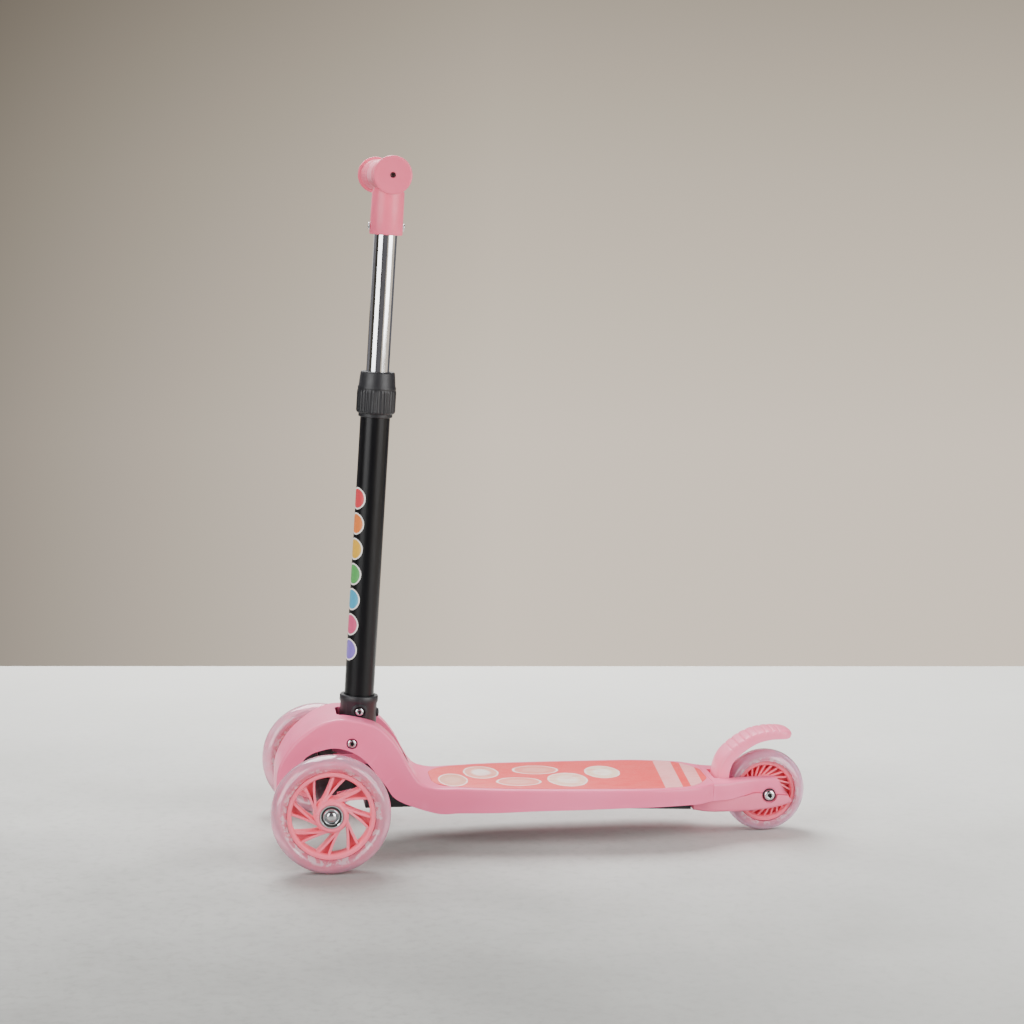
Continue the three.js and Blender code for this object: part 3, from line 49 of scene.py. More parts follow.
# Driving dimensions of the CAD model
WHEELBASE = 427.5
TRACK = 235
FRONT_RADIUS = 55
REAR_RADIUS = 40
TYRE_WIDTH = 24
STEM_LEAN = radians(3.45)
STEM_BEHIND = 25.3
HANDLE_HEIGHT = 632
ARCH_HEIGHT = 126
ARCH_RUN = 100
ARCH_HALF_WIDTH = 42
DECK_HALF_WIDTH = 66
DECK_TOP_FRONT = 60.2
DECK_TOP_REAR = 56
FORK_HALF_WIDTH = 28
FRONT_AXLE_Y = FRONT_RADIUS - (FRONT_RADIUS + WHEELBASE + REAR_RADIUS) / 2
REAR_AXLE_Y = FRONT_AXLE_Y + WHEELBASE
WHEEL_X = TRACK / 2


def behind(run):
    return FRONT_AXLE_Y + run


# Frames of the parts that stand along Z
ACROSS = Matrix.Rotation(pi / 2, 4, "Y")


def at(x, y, z):
    return Matrix.Translation((x, y, z))


def stem_frame(unit):
    return at(0, behind(STEM_BEHIND) * unit, 0) @ Matrix.Rotation(-STEM_LEAN, 4, "X")


def wheel_frame(x, y, radius):
    return at(x * MM, y * MM, radius * MM) @ ACROSS


def outward(side, seat, y, z):
    """Frame of a piece that faces out on its side, from a seat off the middle of the width."""
    return at(0, y, z) @ Matrix.Diagonal((side, 1, 1, 1)) @ ACROSS @ at(0, 0, seat)


STEM = stem_frame(MM)


# Curves and profiles
def spline(points, share):
    """A point of the curve through all of the points, at a share of its length in spans."""
    place = share * (len(points) - 1)
    i = min(int(place), len(points) - 2)
    t = place - i
    p = [Vector(points[max(0, min(len(points) - 1, k))]) for k in (i - 1, i, i + 1, i + 2)]
    v0, v1 = (p[2] - p[0]) / 2, (p[3] - p[1]) / 2
    a = 2 * p[1] - 2 * p[2] + v0 + v1
    b = -3 * p[1] + 3 * p[2] - 2 * v0 - v1
    return a * t**3 + b * t**2 + v0 * t + p[1]


def lerp(a, b, share):
    return a + (b - a) * share


def arc(centre, radius, start, end, steps):
    """Points of a circle in two dimensions, angles in degrees."""
    angles = [radians(lerp(start, end, i / steps)) for i in range(steps + 1)]
    return [(centre[0] + radius * cos(a), centre[1] + radius * sin(a)) for a in angles]


def dome(radius, base, rise, steps, power=1):
    """Profile of a quarter round, from its rim to its top."""
    turns = [pi / 2 * i / steps for i in range(steps + 1)]
    return [(radius * cos(t) ** power, base + rise * sin(t)) for t in turns]


def both_ways(profile):
    """The profile, and then its mirror image in height backwards."""
    return profile + [(r, -z) for r, z in profile[::-1]]


# Meshes
def lathe(profile, sides, lined=0):
    """A closed profile, or a function of the turn that gives one, turned about Z.

    The last spans, as many as are lined, take the second material.
    """
    bm = bmesh.new()
    rings = []
    for k in range(sides):
        turn = 2 * pi * k / sides
        points = profile(turn) if callable(profile) else profile
        rings.append([bm.verts.new((r * cos(turn), r * sin(turn), z)) for r, z in points])
    count = len(points)
    for k in range(sides):
        here, after = rings[k], rings[(k + 1) % sides]
        for j in range(count):
            m = (j + 1) % count
            if max(points[j][0], points[m][0]) > 0:
                face = bm.faces.new((here[j], after[j], after[m], here[m]))
                face.material_index = int(lined > 0 and j > count - 2 - lined)
    bmesh.ops.remove_doubles(bm, verts=bm.verts[:], dist=MM)
    return bm


def ring(inner, outer, low, high, sides):
    return lathe([(inner, low), (outer, low), (outer, high), (inner, high)], sides)


def loft(rings, filled=True):
    """Rings of equally many points joined in their order, the first and last one filled or left open."""
    bm = bmesh.new()
    made = [[bm.verts.new(p) for p in points] for points in rings]
    count = len(rings[0])
    for here, after in zip(made, made[1:]):
        for j in range(count):
            m = (j + 1) % count
            bm.faces.new((here[j], here[m], after[m], after[j]))
    if filled:
        bm.faces.new(made[0][::-1])
        bm.faces.new(made[-1])
    return bm


def prism(outline, low, high):
    """A plan outline of (x, y) points between two heights."""
    return loft([[(x, y, z) for x, y in outline] for z in (low, high)])


def side_prism(outline, low, high):
    """A side outline of (run, height) points between two places across the width."""
    return loft([[(x, behind(run), z) for run, z in outline] for x in (low, high)])


def box(half, front, rear, low, high):
    """A box about the middle of the width, between two runs and two heights."""
    y0, y1 = behind(front), behind(rear)
    return prism([(-half, y0), (half, y0), (half, y1), (-half, y1)], low, high)


def rounded_rectangle(x0, x1, y0, y1, radius):
    corners = [((x1 - radius, y1 - radius), 0), ((x0 + radius, y1 - radius), 90)]
    corners += [((x0 + radius, y0 + radius), 180), ((x1 - radius, y0 + radius), 270)]
    return [p for centre, turn in corners for p in arc(centre, radius, turn, turn + 90, 6)]


def moved(bm, matrix):
    bm.transform(matrix)
    return bm


def side_rods(radius, inner, outer, run, z):
    """The same short rod across the width on both sides."""
    return [moved(ring(0, radius, inner, outer, SMALL_SIDES), outward(side, 0, behind(run), z))
            for side, _ in BOTH_SIDES]


def joined(parts):
    """Several meshes as one."""
    whole = bmesh.new()
    for part in parts:
        mesh = bpy.data.meshes.new("part")
        part.to_mesh(mesh)
        part.free()
        whole.from_mesh(mesh)
        bpy.data.meshes.remove(mesh)
    return whole


# Facets of round pieces
WHEEL_SIDES = 128
TUBE_SIDES = 128
ROUND_SIDES = 96
BEARING_SIDES = 72
BOLT_SIDES = 64
SMALL_SIDES = 48


# Objects
def linked(name, data):
    obj = bpy.data.objects.new(name, data)
    bpy.context.scene.collection.objects.link(obj)
    return obj


def as_object(name, bm):
    mesh = bpy.data.meshes.new(name)
    bm.to_mesh(mesh)
    bm.free()
    return linked(name, mesh)


def new_object(name, bm):
    """An object in metres from a mesh in millimetres, with its faces turned outwards."""
    bmesh.ops.recalc_face_normals(bm, faces=bm.faces[:])
    bm.transform(Matrix.Scale(MM, 4))
    return as_object(name, bm)


def taken_back(obj):
    """The object's mesh in millimetres again. The object goes."""
    bm = bmesh.new()
    bm.from_mesh(obj.data)
    bm.transform(Matrix.Scale(1 / MM, 4))
    bpy.data.objects.remove(obj)
    return bm


def baked(obj):
    """Turns the object's modifiers into its mesh."""
    graph = bpy.context.evaluated_depsgraph_get()
    mesh = bpy.data.meshes.new_from_object(obj.evaluated_get(graph))
    obj.modifiers.clear()
    old = obj.data
    obj.data = mesh
    bpy.data.meshes.remove(old)
    mesh.name = obj.name
    return obj


def carved(obj, cutters, operation="DIFFERENCE"):
    """Cuts meshes out of the object, or joins them to it."""
    for i, cutter in enumerate(cutters):
        tool = new_object(f"tool_{i}", cutter)
        change = obj.modifiers.new("carve", "BOOLEAN")
        change.operation = operation
        change.solver = "EXACT"
        change.object = tool
        baked(obj)
        bpy.data.objects.remove(tool)
    return obj


def bevelled(obj, width, angle):
    bevel = obj.modifiers.new("soft", "BEVEL")
    bevel.width = width * MM
    bevel.segments = 2
    bevel.limit_method = "ANGLE"
    bevel.angle_limit = radians(angle)
    return bevel


def softened(obj, width):
    """Rounds the object's sharp edges."""
    bevel = bevelled(obj, width, 32)
    bevel.miter_outer = "MITER_ARC"
    bevel.use_clamp_overlap = True
    return baked(obj)


def piece(obj, smooth, body, materials, replaced=(), place=None):
    """Shades a piece, gives it its materials and body, and lets it stand for CAD nodes."""
    obj.data.polygons.foreach_set("use_smooth", [True] * len(obj.data.polygons))
    obj.data.set_sharp_from_angle(angle=radians(smooth))
    for material in materials if isinstance(materials, list) else [materials]:
        obj.data.materials.append(material)
    if place is not None:
        obj.matrix_world = place
    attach(obj, body)
    if replaced:
        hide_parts(*replaced)


# Material helpers
def colour(code):
    """Linear colour of a hexadecimal one."""
    parts = [int(code[i : i + 2], 16) / 255 for i in (0, 2, 4)]
    return [p / 12.92 if p <= 0.04045 else ((p + 0.055) / 1.055) ** 2.4 for p in parts] + [1]


def toned(code, factor, lift=0):
    """The colour made darker or lighter."""
    return [min(1, c * factor + lift) for c in colour(code)[:3]] + [1]


class Nodes:
    """Short calls for building the nodes of a material or of the world."""

    def __init__(self, owner):
        owner.use_nodes = True
        self.owner = owner
        self.tree = owner.node_tree

    def add(self, kind, **values):
        node = self.tree.nodes.new(kind)
        for key, value in values.items():
            setattr(node, key, value)
        return node

    def feed(self, socket, value):
        """Gives the socket its number or colour, or links another one to it."""
        if isinstance(value, (int, float, list, tuple)):
            socket.default_value = value
        else:
            self.tree.links.new(value, socket)

    def fed(self, node, **values):
        for name, value in values.items():
            self.feed(node.inputs[name.replace("_", " ")], value)
        return node.outputs

    def set(self, **values):
        self.fed(self.tree.nodes["Principled BSDF"], **values)

    def place(self):
        return self.add("ShaderNodeTexCoord").outputs["Object"]

    def split(self, vector):
        parts = self.fed(self.add("ShaderNodeSeparateXYZ"), Vector=vector)
        return [parts[axis] for axis in "XYZ"]

    def noise(self, vector, scale, detail, roughness=0.5):
        node = self.add("ShaderNodeTexNoise")
        return self.fed(node, Vector=vector, Scale=scale, Detail=detail, Roughness=roughness)["Fac"]

    def stretched(self, vector, scale):
        return self.fed(self.add("ShaderNodeMapping"), Vector=vector, Scale=scale)["Vector"]

    def ranged(self, value, low, high, to_low, to_high):
        limits = {"From_Min": low, "From_Max": high, "To_Min": to_low, "To_Max": to_high}
        return self.fed(self.add("ShaderNodeMapRange"), Value=value, **limits)["Result"]

    def math(self, operation, *values):
        node = self.add("ShaderNodeMath", operation=operation)
        for socket, value in zip(node.inputs, values):
            self.feed(socket, value)
        return node.outputs["Value"]

    def length(self, x, y):
        return self.math("SQRT", self.math("ADD", self.math("MULTIPLY", x, x), self.math("MULTIPLY", y, y)))

    def mix(self, share, first, second):
        node = self.add("ShaderNodeMix", data_type="RGBA")
        for i, value in ((0, share), (6, first), (7, second)):
            self.feed(node.inputs[i], value)
        return node.outputs[2]

    def over(self, tone, code, value, low, high, to_low, to_high):
        """Lays a colour over a tone, by a share that follows the value."""
        return self.mix(self.ranged(value, low, high, to_low, to_high), tone, colour(code))

    def bump(self, height, distance, strength, **normal):
        node = self.add("ShaderNodeBump")
        return self.fed(node, Height=height, Distance=distance * MM, Strength=strength, **normal)["Normal"]

    def rounded(self, radius):
        return self.fed(self.add("ShaderNodeBevel", samples=4), Radius=radius * MM)["Normal"]


def new_nodes(name):
    n = Nodes(bpy.data.materials.new(name))
    return n, n.place()


def moulded(name, base, shade, roughness, grain=0.012, edge=0.5, scattering=0.0):
    """Moulded plastic: slow drift of its colour, fine grain, scuffed gloss and lighter worn edges."""
    n, where = new_nodes(name)
    body = n.over(colour(base), shade, n.noise(where, 14, 2), 0.35, 0.65, 0, 1)
    body = n.mix(n.ranged(n.noise(where, 900, 2), 0.62, 0.8, 0, 0.35), body, toned(base, 0.9))
    worn = n.ranged(n.add("ShaderNodeNewGeometry").outputs["Pointiness"], 0.54, 0.62, 0, 0.3)
    body = n.mix(worn, body, toned(base, 1.25, 0.04))
    scuff = n.noise(n.stretched(where, (1, 0.35, 1)), 60, 5, 0.65)
    gloss = n.ranged(scuff, 0.35, 0.7, roughness - 0.05, roughness + 0.1)
    normal = n.bump(n.noise(where, 1600, 3, 0.6), grain, 0.5, Normal=n.rounded(edge))
    n.set(Base_Color=body, Roughness=gloss, Normal=normal, IOR=1.5)
    if scattering:
        n.set(Subsurface_Weight=scattering, Subsurface_Radius=[1.0, 0.45, 0.4], Subsurface_Scale=0.002)
    return n.owner


def polished(name, tint, roughness, streaks=0.04):
    """Plated or bare metal with fine turning streaks and a few smudges."""
    n, where = new_nodes(name)
    lines = n.noise(n.stretched(where, (1, 1, 60)), 90, 3)
    smudge = n.noise(where, 45, 4, 0.6)
    streaked = n.ranged(lines, 0.3, 0.7, roughness, roughness + streaks)
    gloss = n.math("ADD", streaked, n.ranged(smudge, 0.5, 0.75, 0, 0.06))
    tone = n.mix(n.ranged(smudge, 0.4, 0.7, 0, 1), colour(tint), toned(tint, 0.86))
    n.set(Base_Color=tone, Metallic=1.0, Roughness=gloss, Normal=n.bump(lines, 0.004, 0.3))
    return n.owner


def painted_tube(name):
    """Satin black paint on steel, with a faint ripple and light handling marks along the tube."""
    n, where = new_nodes(name)
    ripple = n.noise(n.stretched(where, (1, 1, 0.2)), 320, 3)
    marks = n.noise(n.stretched(where, (1, 1, 0.08)), 700, 4, 0.7)
    tone = n.over(colour("0a0a0d"), "141419", marks, 0.6, 0.8, 0, 0.5)
    gloss = n.ranged(marks, 0.35, 0.75, 0.28, 0.38)
    n.set(Base_Color=tone, Roughness=gloss, Normal=n.bump(ripple, 0.01, 0.4), Specular_IOR_Level=0.3)
    return n.owner


def clear_tyre(name, seat, radius, inner, outer):
    """Clear pink elastomer: pinker towards the rim, paler towards the tread, cloudy inside."""
    n, where = new_nodes(name)
    x, y, _ = n.split(where)
    cloud = n.ranged(n.noise(where, 120, 4, 0.6), 0.38, 0.66, 0, 1)
    reach = n.math("ADD", n.length(x, y), n.math("MULTIPLY", cloud, 0.0015))
    outwards = n.ranged(reach, seat * MM, radius * MM, 0, 1)
    tone = n.over(colour(inner), outer, outwards, 0.1, 0.75, 0, 1)
    near_rim = n.ranged(outwards, 0.28, 0.5, 1, 0)
    foil = n.ranged(n.noise(n.stretched(where, (1, 1, 0.5)), 150, 3, 0.6), 0.5, 0.57, 0, 0.9)
    tone = n.mix(n.math("MULTIPLY", near_rim, foil), tone, colour("fdeef2"))
    tone = n.mix(n.math("MULTIPLY", cloud, 0.15), tone, colour("fbd6e6"))
    haze = n.ranged(n.noise(where, 60, 3), 0.3, 0.7, 0.05, 0.14)
    n.set(Base_Color=tone, Roughness=haze, Normal=n.bump(n.noise(where, 260, 3), 0.03, 0.35))
    n.set(Transmission_Weight=0.6, IOR=1.4, Subsurface_Weight=0.3, Subsurface_Scale=0.004)
    n.set(Subsurface_Radius=[1.0, 0.55, 0.6], Coat_Weight=0.8, Coat_Roughness=0.06)
    return n.owner


def cloudy_lamp(name):
    """Milky lamp housing with a foil-like sparkle."""
    n, where = new_nodes(name)
    sparkle = n.ranged(n.noise(where, 420, 3, 0.7), 0.45, 0.65, 0, 1)
    tone = n.mix(sparkle, colour("f2d9e2"), colour("ffffff"))
    gloss = n.ranged(sparkle, 0, 1, 0.15, 0.4)
    n.set(Base_Color=tone, Roughness=gloss, Normal=n.bump(sparkle, 0.1, 0.6))
    n.set(Transmission_Weight=0.25, IOR=1.45)
    return n.owner


# Foot panel's print: pebbles with a pale outline and a lighter core, and two slanted bands. Each pebble is
# its place across, its run, its half width and half length, and the colours of its body and core.
PEBBLES = [
    (16, 122, 24, 13, "dd9a80", "e4ab92"),
    (-14, 152, 24, 16, "f0a08c", "fbf0ea"),
    (26, 184, 16, 20, "ef8c7e", "f0a193"),
    (-22, 206, 17, 21, "ef8c7e", "f0a193"),
    (20, 232, 26, 18, "f3c9b1", "f8e6d8"),
    (-10, 270, 24, 16, "f1d0b8", "f9eee2"),
]
PEBBLE_RIM = 0.1
PEBBLE_CORE = 0.62
PEBBLE_WOBBLE = 0.16
BANDS = [(332.5, 8.4), (355.5, 6.2)]  # run of the middle and half width
BAND_SLANT = 0.07
BAND_PITCH = 3.4  # of the fine steps across a band
BAND_EDGE = 0.4


def panel_print(name):
    n, where = new_nodes(name)
    x, y, _ = n.split(where)
    weave = n.noise(where, 700, 2)
    streak = n.noise(n.stretched(where, (1, 0.18, 1)), 260, 4, 0.7)
    tone = n.over(colour("e8353b"), "f05654", streak, 0.4, 0.62, 0, 1)
    wobble = n.math("MULTIPLY", n.math("SUBTRACT", n.noise(where, 60, 2), 0.5), PEBBLE_WOBBLE)
    for across, run, half_width, half_length, body, core in PEBBLES:
        u = n.math("DIVIDE", n.math("SUBTRACT", x, across * MM), half_width * MM)
        v = n.math("DIVIDE", n.math("SUBTRACT", y, behind(run) * MM), half_length * MM)
        radius = n.math("ADD", n.length(u, v), wobble)
        tone = n.over(tone, "fae3dc", radius, 1 + PEBBLE_RIM - 0.04, 1 + PEBBLE_RIM, 1, 0)
        tone = n.over(tone, body, radius, 0.96, 1, 1, 0)
        tone = n.over(tone, core, radius, PEBBLE_CORE - 0.15, PEBBLE_CORE + 0.05, 0.85, 0)
    slanted = n.math("ADD", y, n.math("MULTIPLY", x, BAND_SLANT))
    steps = n.math("SINE", n.math("MULTIPLY", x, 2 * pi / (BAND_PITCH * MM)))
    for run, half in BANDS:
        away = n.math("ABSOLUTE", n.math("SUBTRACT", slanted, behind(run) * MM))
        inside = n.ranged(away, half * MM, (half + BAND_EDGE) * MM, 1, 0)
        share = n.math("MULTIPLY", inside, n.ranged(steps, -0.3, 0.1, 0.45, 0.85))
        tone = n.mix(share, tone, colour("f7c3c4"))
    tone = n.over(tone, "dd4046", streak, 0.5, 0.68, 0, 0.5)
    gloss = n.ranged(weave, 0.3, 0.7, 0.4, 0.58)
    n.set(Base_Color=tone, Roughness=gloss, Normal=n.bump(weave, 0.05, 0.6))
    return n.owner


def dot_paint(name, code):
    """Print on the stem: flat ink with faint flaws."""
    n, where = new_nodes(name)
    flaw = n.ranged(n.noise(where, 500, 3), 0.5, 0.8, 0, 0.5)
    tone = n.mix(flaw, colour(code), toned(code, 0.8))
    n.set(Base_Color=tone, Roughness=n.ranged(flaw, 0, 0.5, 0.3, 0.45), Normal=n.bump(flaw, 0.01, 0.3))
    return n.owner


def floor_stone(name):
    """Pale mottled stone, with painted light far from the camera and to its right, and painted shade near the
    camera and to its left.
    """
    n, where = new_nodes(name)
    x, y, _ = n.split(where)
    fine = n.noise(where, 90, 5, 0.65)
    tone = n.over(colour("cacac6"), "aaaaa6", n.noise(where, 3.2, 5, 0.6), 0.35, 0.65, 0, 1)
    tone = n.over(tone, "94948f", fine, 0.5, 0.75, 0, 0.45)
    # Painted light and shade: lighter far away and to the right, darker near the camera and to the left
    tone = n.over(tone, "fcfcf6", x, -1.0, 0.1, 1.0, 0)
    tone = n.over(tone, "6a6a66", x, -0.1, 1.0, 0, 1.0)
    tone = n.over(tone, "6a6a66", y, -0.7, 0.0, 0.3, 0)
    tone = n.over(tone, "fcfcf6", y, -0.1, 0.6, 0, 0.45)
    n.set(Base_Color=tone, Roughness=n.ranged(fine, 0.3, 0.7, 0.62, 0.78), Normal=n.bump(fine, 0.3, 0.25))
    return n.owner


# Wheels' seats under the tyres
RIM_SHARE = 0.733
FRONT_RIM = FRONT_RADIUS * RIM_SHARE
REAR_RIM = REAR_RADIUS * RIM_SHARE

PINK = moulded("pink_plastic", "f6759d", "f26c95", 0.36, scattering=0.1)
FENDER_PINK = moulded("fender_plastic", "ff86a8", "ff7fa1", 0.34, scattering=0.1)
COVER_PINK = moulded("cover_plastic", "ea7393", "e36a8a", 0.4, scattering=0.1)
GRIP_PINK = moulded("grip_rubber", "f06d88", "eb6480", 0.44, grain=0.03, scattering=0.08)
HANDLE_PINK = moulded("handle_plastic", "f36f8c", "ee6884", 0.36, scattering=0.1)
RIM_PINK = moulded("rim_plastic", "fb788e", "f86e84", 0.3, edge=0.35, scattering=0.1)
# Painted shade: the rim plastic made darker for the web floor that lies sunk between the spokes
RIM_WEB_SHADED_PINK = moulded("rim_web_painted_shade", "e0667c", "d65c72", 0.42, edge=0.2)
CORAL = panel_print("panel_print")
FRONT_TYRE = clear_tyre("clear_elastomer_front", 40.6, FRONT_RADIUS, "f4849c", "fcb2cd")
REAR_TYRE = clear_tyre("clear_elastomer_rear", 29.6, REAR_RADIUS, "f598b2", "f6c6e2")
LAMP = cloudy_lamp("lamp_housing")
# Painted shade: a dark red plug that stands for the shade inside each grip cap's hole
PLUG_PAINTED_SHADE = moulded("grip_hole_painted_shade", "3a1418", "2c0f13", 0.4)
BLACK = moulded("black_plastic", "1c1c20", "151518", 0.44, grain=0.03)
# Black rubber of the bearing seals and black oxide in the hex sockets, and painted shade in the rings round
# the cross bolts
BLACK_SEAL_AND_SHADE = moulded("black_seal_and_painted_shade", "0d0d0f", "121214", 0.6)
PAINT = painted_tube("black_paint")
CHROME = polished("chrome_plate", "dfe1e4", 0.06)
STEEL = polished("zinc_plate", "b4b8bd", 0.24, 0.1)

# Shell stations of the CAD model
ARCH_SHARES = [
    (-0.43, -0.245, -0.27, -0.245, 0.77),
    (-0.435, 0.023, -0.26, 0.062, 0.78),
    (-0.41, 0.301, -0.215, 0.358, 0.8),
    (-0.295, 0.588, -0.135, 0.479, 0.85),
    (-0.15, 0.786, -0.04, 0.537, 0.9),
    (-0.02, 0.906, 0.035, 0.567, 0.94),
    (0.126, 0.958, 0.11, 0.573, 0.975),
    (0.28, 0.931, 0.2, 0.544, 1),
    (0.465, 0.849, 0.31, 0.464, 1.03),
    (0.589, 0.692, 0.4, 0.339, 1.055),
    (0.682, 0.498, 0.48, 0.186, 1.075),
    (0.765, 0.255, 0.56, 0.027, 1.09),
    (0.867, 0.044, 0.68, -0.191, 1.115),
]
DECK_SHARES = [
    (0.01, 0.365, 0.735), (0.08, 0.36, 0.77), (0.18, 0.335, 0.875), (0.3, 0.3, 0.93), (0.42, 0.28, 0.97),
    (0.54, 0.255, 0.995), (0.63, 0.245, 1), (0.71, 0.24, 0.94), (0.775, 0.245, 0.84), (0.82, 0.25, 0.65),
]
FORK_SHARES = [
    (-1.07, 1.33, -1.02, 0.975, 1.36),
    (-0.68, 1.345, -0.62, 1.02, 1.13),
    (-0.33, 1.36, -0.32, 1.075, 1.02),
    (0, 1.36, 0, 1.02, 1),
    (0.2, 1.36, 0.36, 1.0, 1),
    (0.36, 1.12, 0.46, 0.98, 1),
]
RIM_RISE = 3
RIM_RADIUS = 4
EDGE_INSET = 3
WALL = 3.5
SHELL_STEPS = 170
OVERRUN = 4  # how far a cutter reaches past what it cuts


def deck_top(run):
    return lerp(DECK_TOP_FRONT, DECK_TOP_REAR, (run - ARCH_RUN) / (WHEELBASE - ARCH_RUN))


def shell_stations():
    """Upper edge, lower edge and half width at each station."""
    stations = []
    for run, rise, low_run, low_rise, width in ARCH_SHARES:
        top = (run * ARCH_RUN, lerp(DECK_TOP_FRONT, ARCH_HEIGHT, rise))
        low = (low_run * ARCH_RUN, lerp(DECK_TOP_FRONT, ARCH_HEIGHT, low_rise))
        stations.append((top, low, width * ARCH_HALF_WIDTH))
    for share, drop, width in DECK_SHARES:
        run = lerp(ARCH_RUN, WHEELBASE, share)
        edge = deck_top(run) - RIM_RISE
        stations.append(((run, edge), (run, edge - drop * DECK_TOP_FRONT), width * DECK_HALF_WIDTH))
    for run, height, low_run, low_height, width in FORK_SHARES:
        top = (WHEELBASE + run * REAR_RADIUS, height * REAR_RADIUS)
        low = (WHEELBASE + low_run * REAR_RADIUS, low_height * REAR_RADIUS)
        stations.append((top, low, width * FORK_HALF_WIDTH))
    return stations


STATIONS = shell_stations()
UPPER = [s[0] for s in STATIONS]
LOWER = [s[1] for s in STATIONS]
WIDTHS = [(s[2], 0) for s in STATIONS]
HOLLOW_END = (len(ARCH_SHARES) + len(DECK_SHARES) - 1) / (len(STATIONS) - 1)
CORNER_STEPS = 6
CORNER_POWER = 0.86  # below one, the shell's rounded edge is fuller than an ellipse
FLANK = (0.35, 0.6)  # a point of the flank, as shares of the edge's inset and the shoulder's height


def shell_section(share, inset, below):
    top, low = spline(UPPER, share), spline(LOWER, share)
    half = spline(WIDTHS, share).x - inset
    up = top - low
    height = up.length + RIM_RISE - inset
    up.normalize()
    shoulder = height - RIM_RISE
    side = [(half - EDGE_INSET, -below), (half - EDGE_INSET * FLANK[0], shoulder * FLANK[1])]
    for i in range(CORNER_STEPS + 1):
        turn = pi / 2 * i / CORNER_STEPS
        a, b = cos(turn) ** CORNER_POWER, sin(turn) ** CORNER_POWER
        side.append((half - RIM_RADIUS * (1 - a), shoulder + RIM_RISE * b))
    side += [((half - RIM_RADIUS) * s, height) for s in (0.8, 0.5, 0.2)]
    outline = [(-x, h) for x, h in side] + side[::-1]
    return [(x, behind(low.x + up.x * h), low.y + up.y * h) for x, h in outline]


def shell_loft(inset, below, end, steps):
    return loft([shell_section(end * i / steps, inset, below) for i in range(steps + 1)])


def share_at(run, steps):
    """Share of the shell's length where its upper edge is nearest to a run."""
    return min((i / steps for i in range(steps + 1)), key=lambda s: abs(spline(UPPER, s).x - run))


def shell_half_width(run):
    return spline(WIDTHS, share_at(run, 1200)).x


# Places inside the shell
SLOT_HALF = 19
SLOT_FRONT = 11.5
SLOT_REAR = 80
SLOT_FLOOR = 86
SLOT_CORNER = 5
SKIRT = [(8, 79.5), (48, 79.5), (62, 89.5), (8, 89.5)]  # wall under the slot's sides, as run and height
FOLD_FORWARD = 7
FOLD_ALONG = 102.4
FOLD_RUN = STEM_BEHIND - FOLD_FORWARD * cos(STEM_LEAN) + FOLD_ALONG * sin(STEM_LEAN)
FOLD_Z = FOLD_ALONG * cos(STEM_LEAN) + FOLD_FORWARD * sin(STEM_LEAN)
FOLD_HALF_WIDTH = shell_half_width(FOLD_RUN) - EDGE_INSET / 2
FOLD_SEAT = 5.2
FOLD_SEAT_DEPTH = 3
FORK_GAP_HALF = 19.2
FORK_GAP_FRONT = 384
NOTCH_FRONT = 374.5
PIN_RUN = 381
PIN_Z = 50
PIN_RADIUS = 4.6
PIN_ROOM = 5.2
AXLE_RECESS = 7.6
AXLE_SEAT = FORK_HALF_WIDTH - 2.6
PANEL_FRONT = 101
PANEL_REAR = 368
PANEL_MARGIN = 6
PANEL_END_ROUND = 30
PANEL_END_SHARE = 0.35
PANEL_RECESS = 1.1
PANEL_GAP = 0.35
PANEL_STEPS = 90
SEAM_RUN = 369.6
SEAM_SHARE_WIDTH = 0.0007
SEAM_DEPTH = 0.4


def wheel_room(top):
    return box(FORK_GAP_HALF, FORK_GAP_FRONT, WHEELBASE + REAR_RADIUS, 0, top)


def axle_recesses():
    return side_rods(AXLE_RECESS, AXLE_SEAT, FORK_HALF_WIDTH + OVERRUN, WHEELBASE, REAR_RADIUS)


def panel_outline(margin):
    right = []
    for i in range(PANEL_STEPS + 1):
        share = (1 - cos(pi * i / PANEL_STEPS)) / 2
        run = lerp(PANEL_FRONT, PANEL_REAR, share)
        to_end = min(run - PANEL_FRONT, PANEL_REAR - run, PANEL_END_ROUND) / PANEL_END_ROUND
        rounding = sqrt(max(0, 1 - (1 - to_end) ** 2))
        half = (shell_half_width(run) - PANEL_MARGIN) * lerp(PANEL_END_SHARE, 1, rounding)
        drawn_in = min(max(run, PANEL_FRONT + margin), PANEL_REAR - margin)
        right.append((half - margin, behind(drawn_in)))
    return right + [(-x, y) for x, y in right[::-1]]


def panel_slab(margin, low, high):
    slope = atan2(DECK_TOP_REAR - DECK_TOP_FRONT, WHEELBASE - ARCH_RUN)
    middle = (PANEL_FRONT + PANEL_REAR) / 2
    slab = prism(panel_outline(margin), low, high)
    lift = at(0, behind(middle), deck_top(middle))
    return moved(slab, lift @ Matrix.Rotation(slope, 4, "X") @ at(0, -behind(middle), 0))


def seam_cutter():
    """A thin frame round the shell where the deck's moulding ends."""
    share = share_at(SEAM_RUN, 3000)

    def slice_of(width, inset, below):
        return loft([shell_section(share + s * width, inset, below) for s in (-1, 1)])

    skin = new_object("seam_skin", slice_of(SEAM_SHARE_WIDTH, -1, 0))
    return taken_back(carved(skin, [slice_of(3 * SEAM_SHARE_WIDTH, SEAM_DEPTH, 2)]))


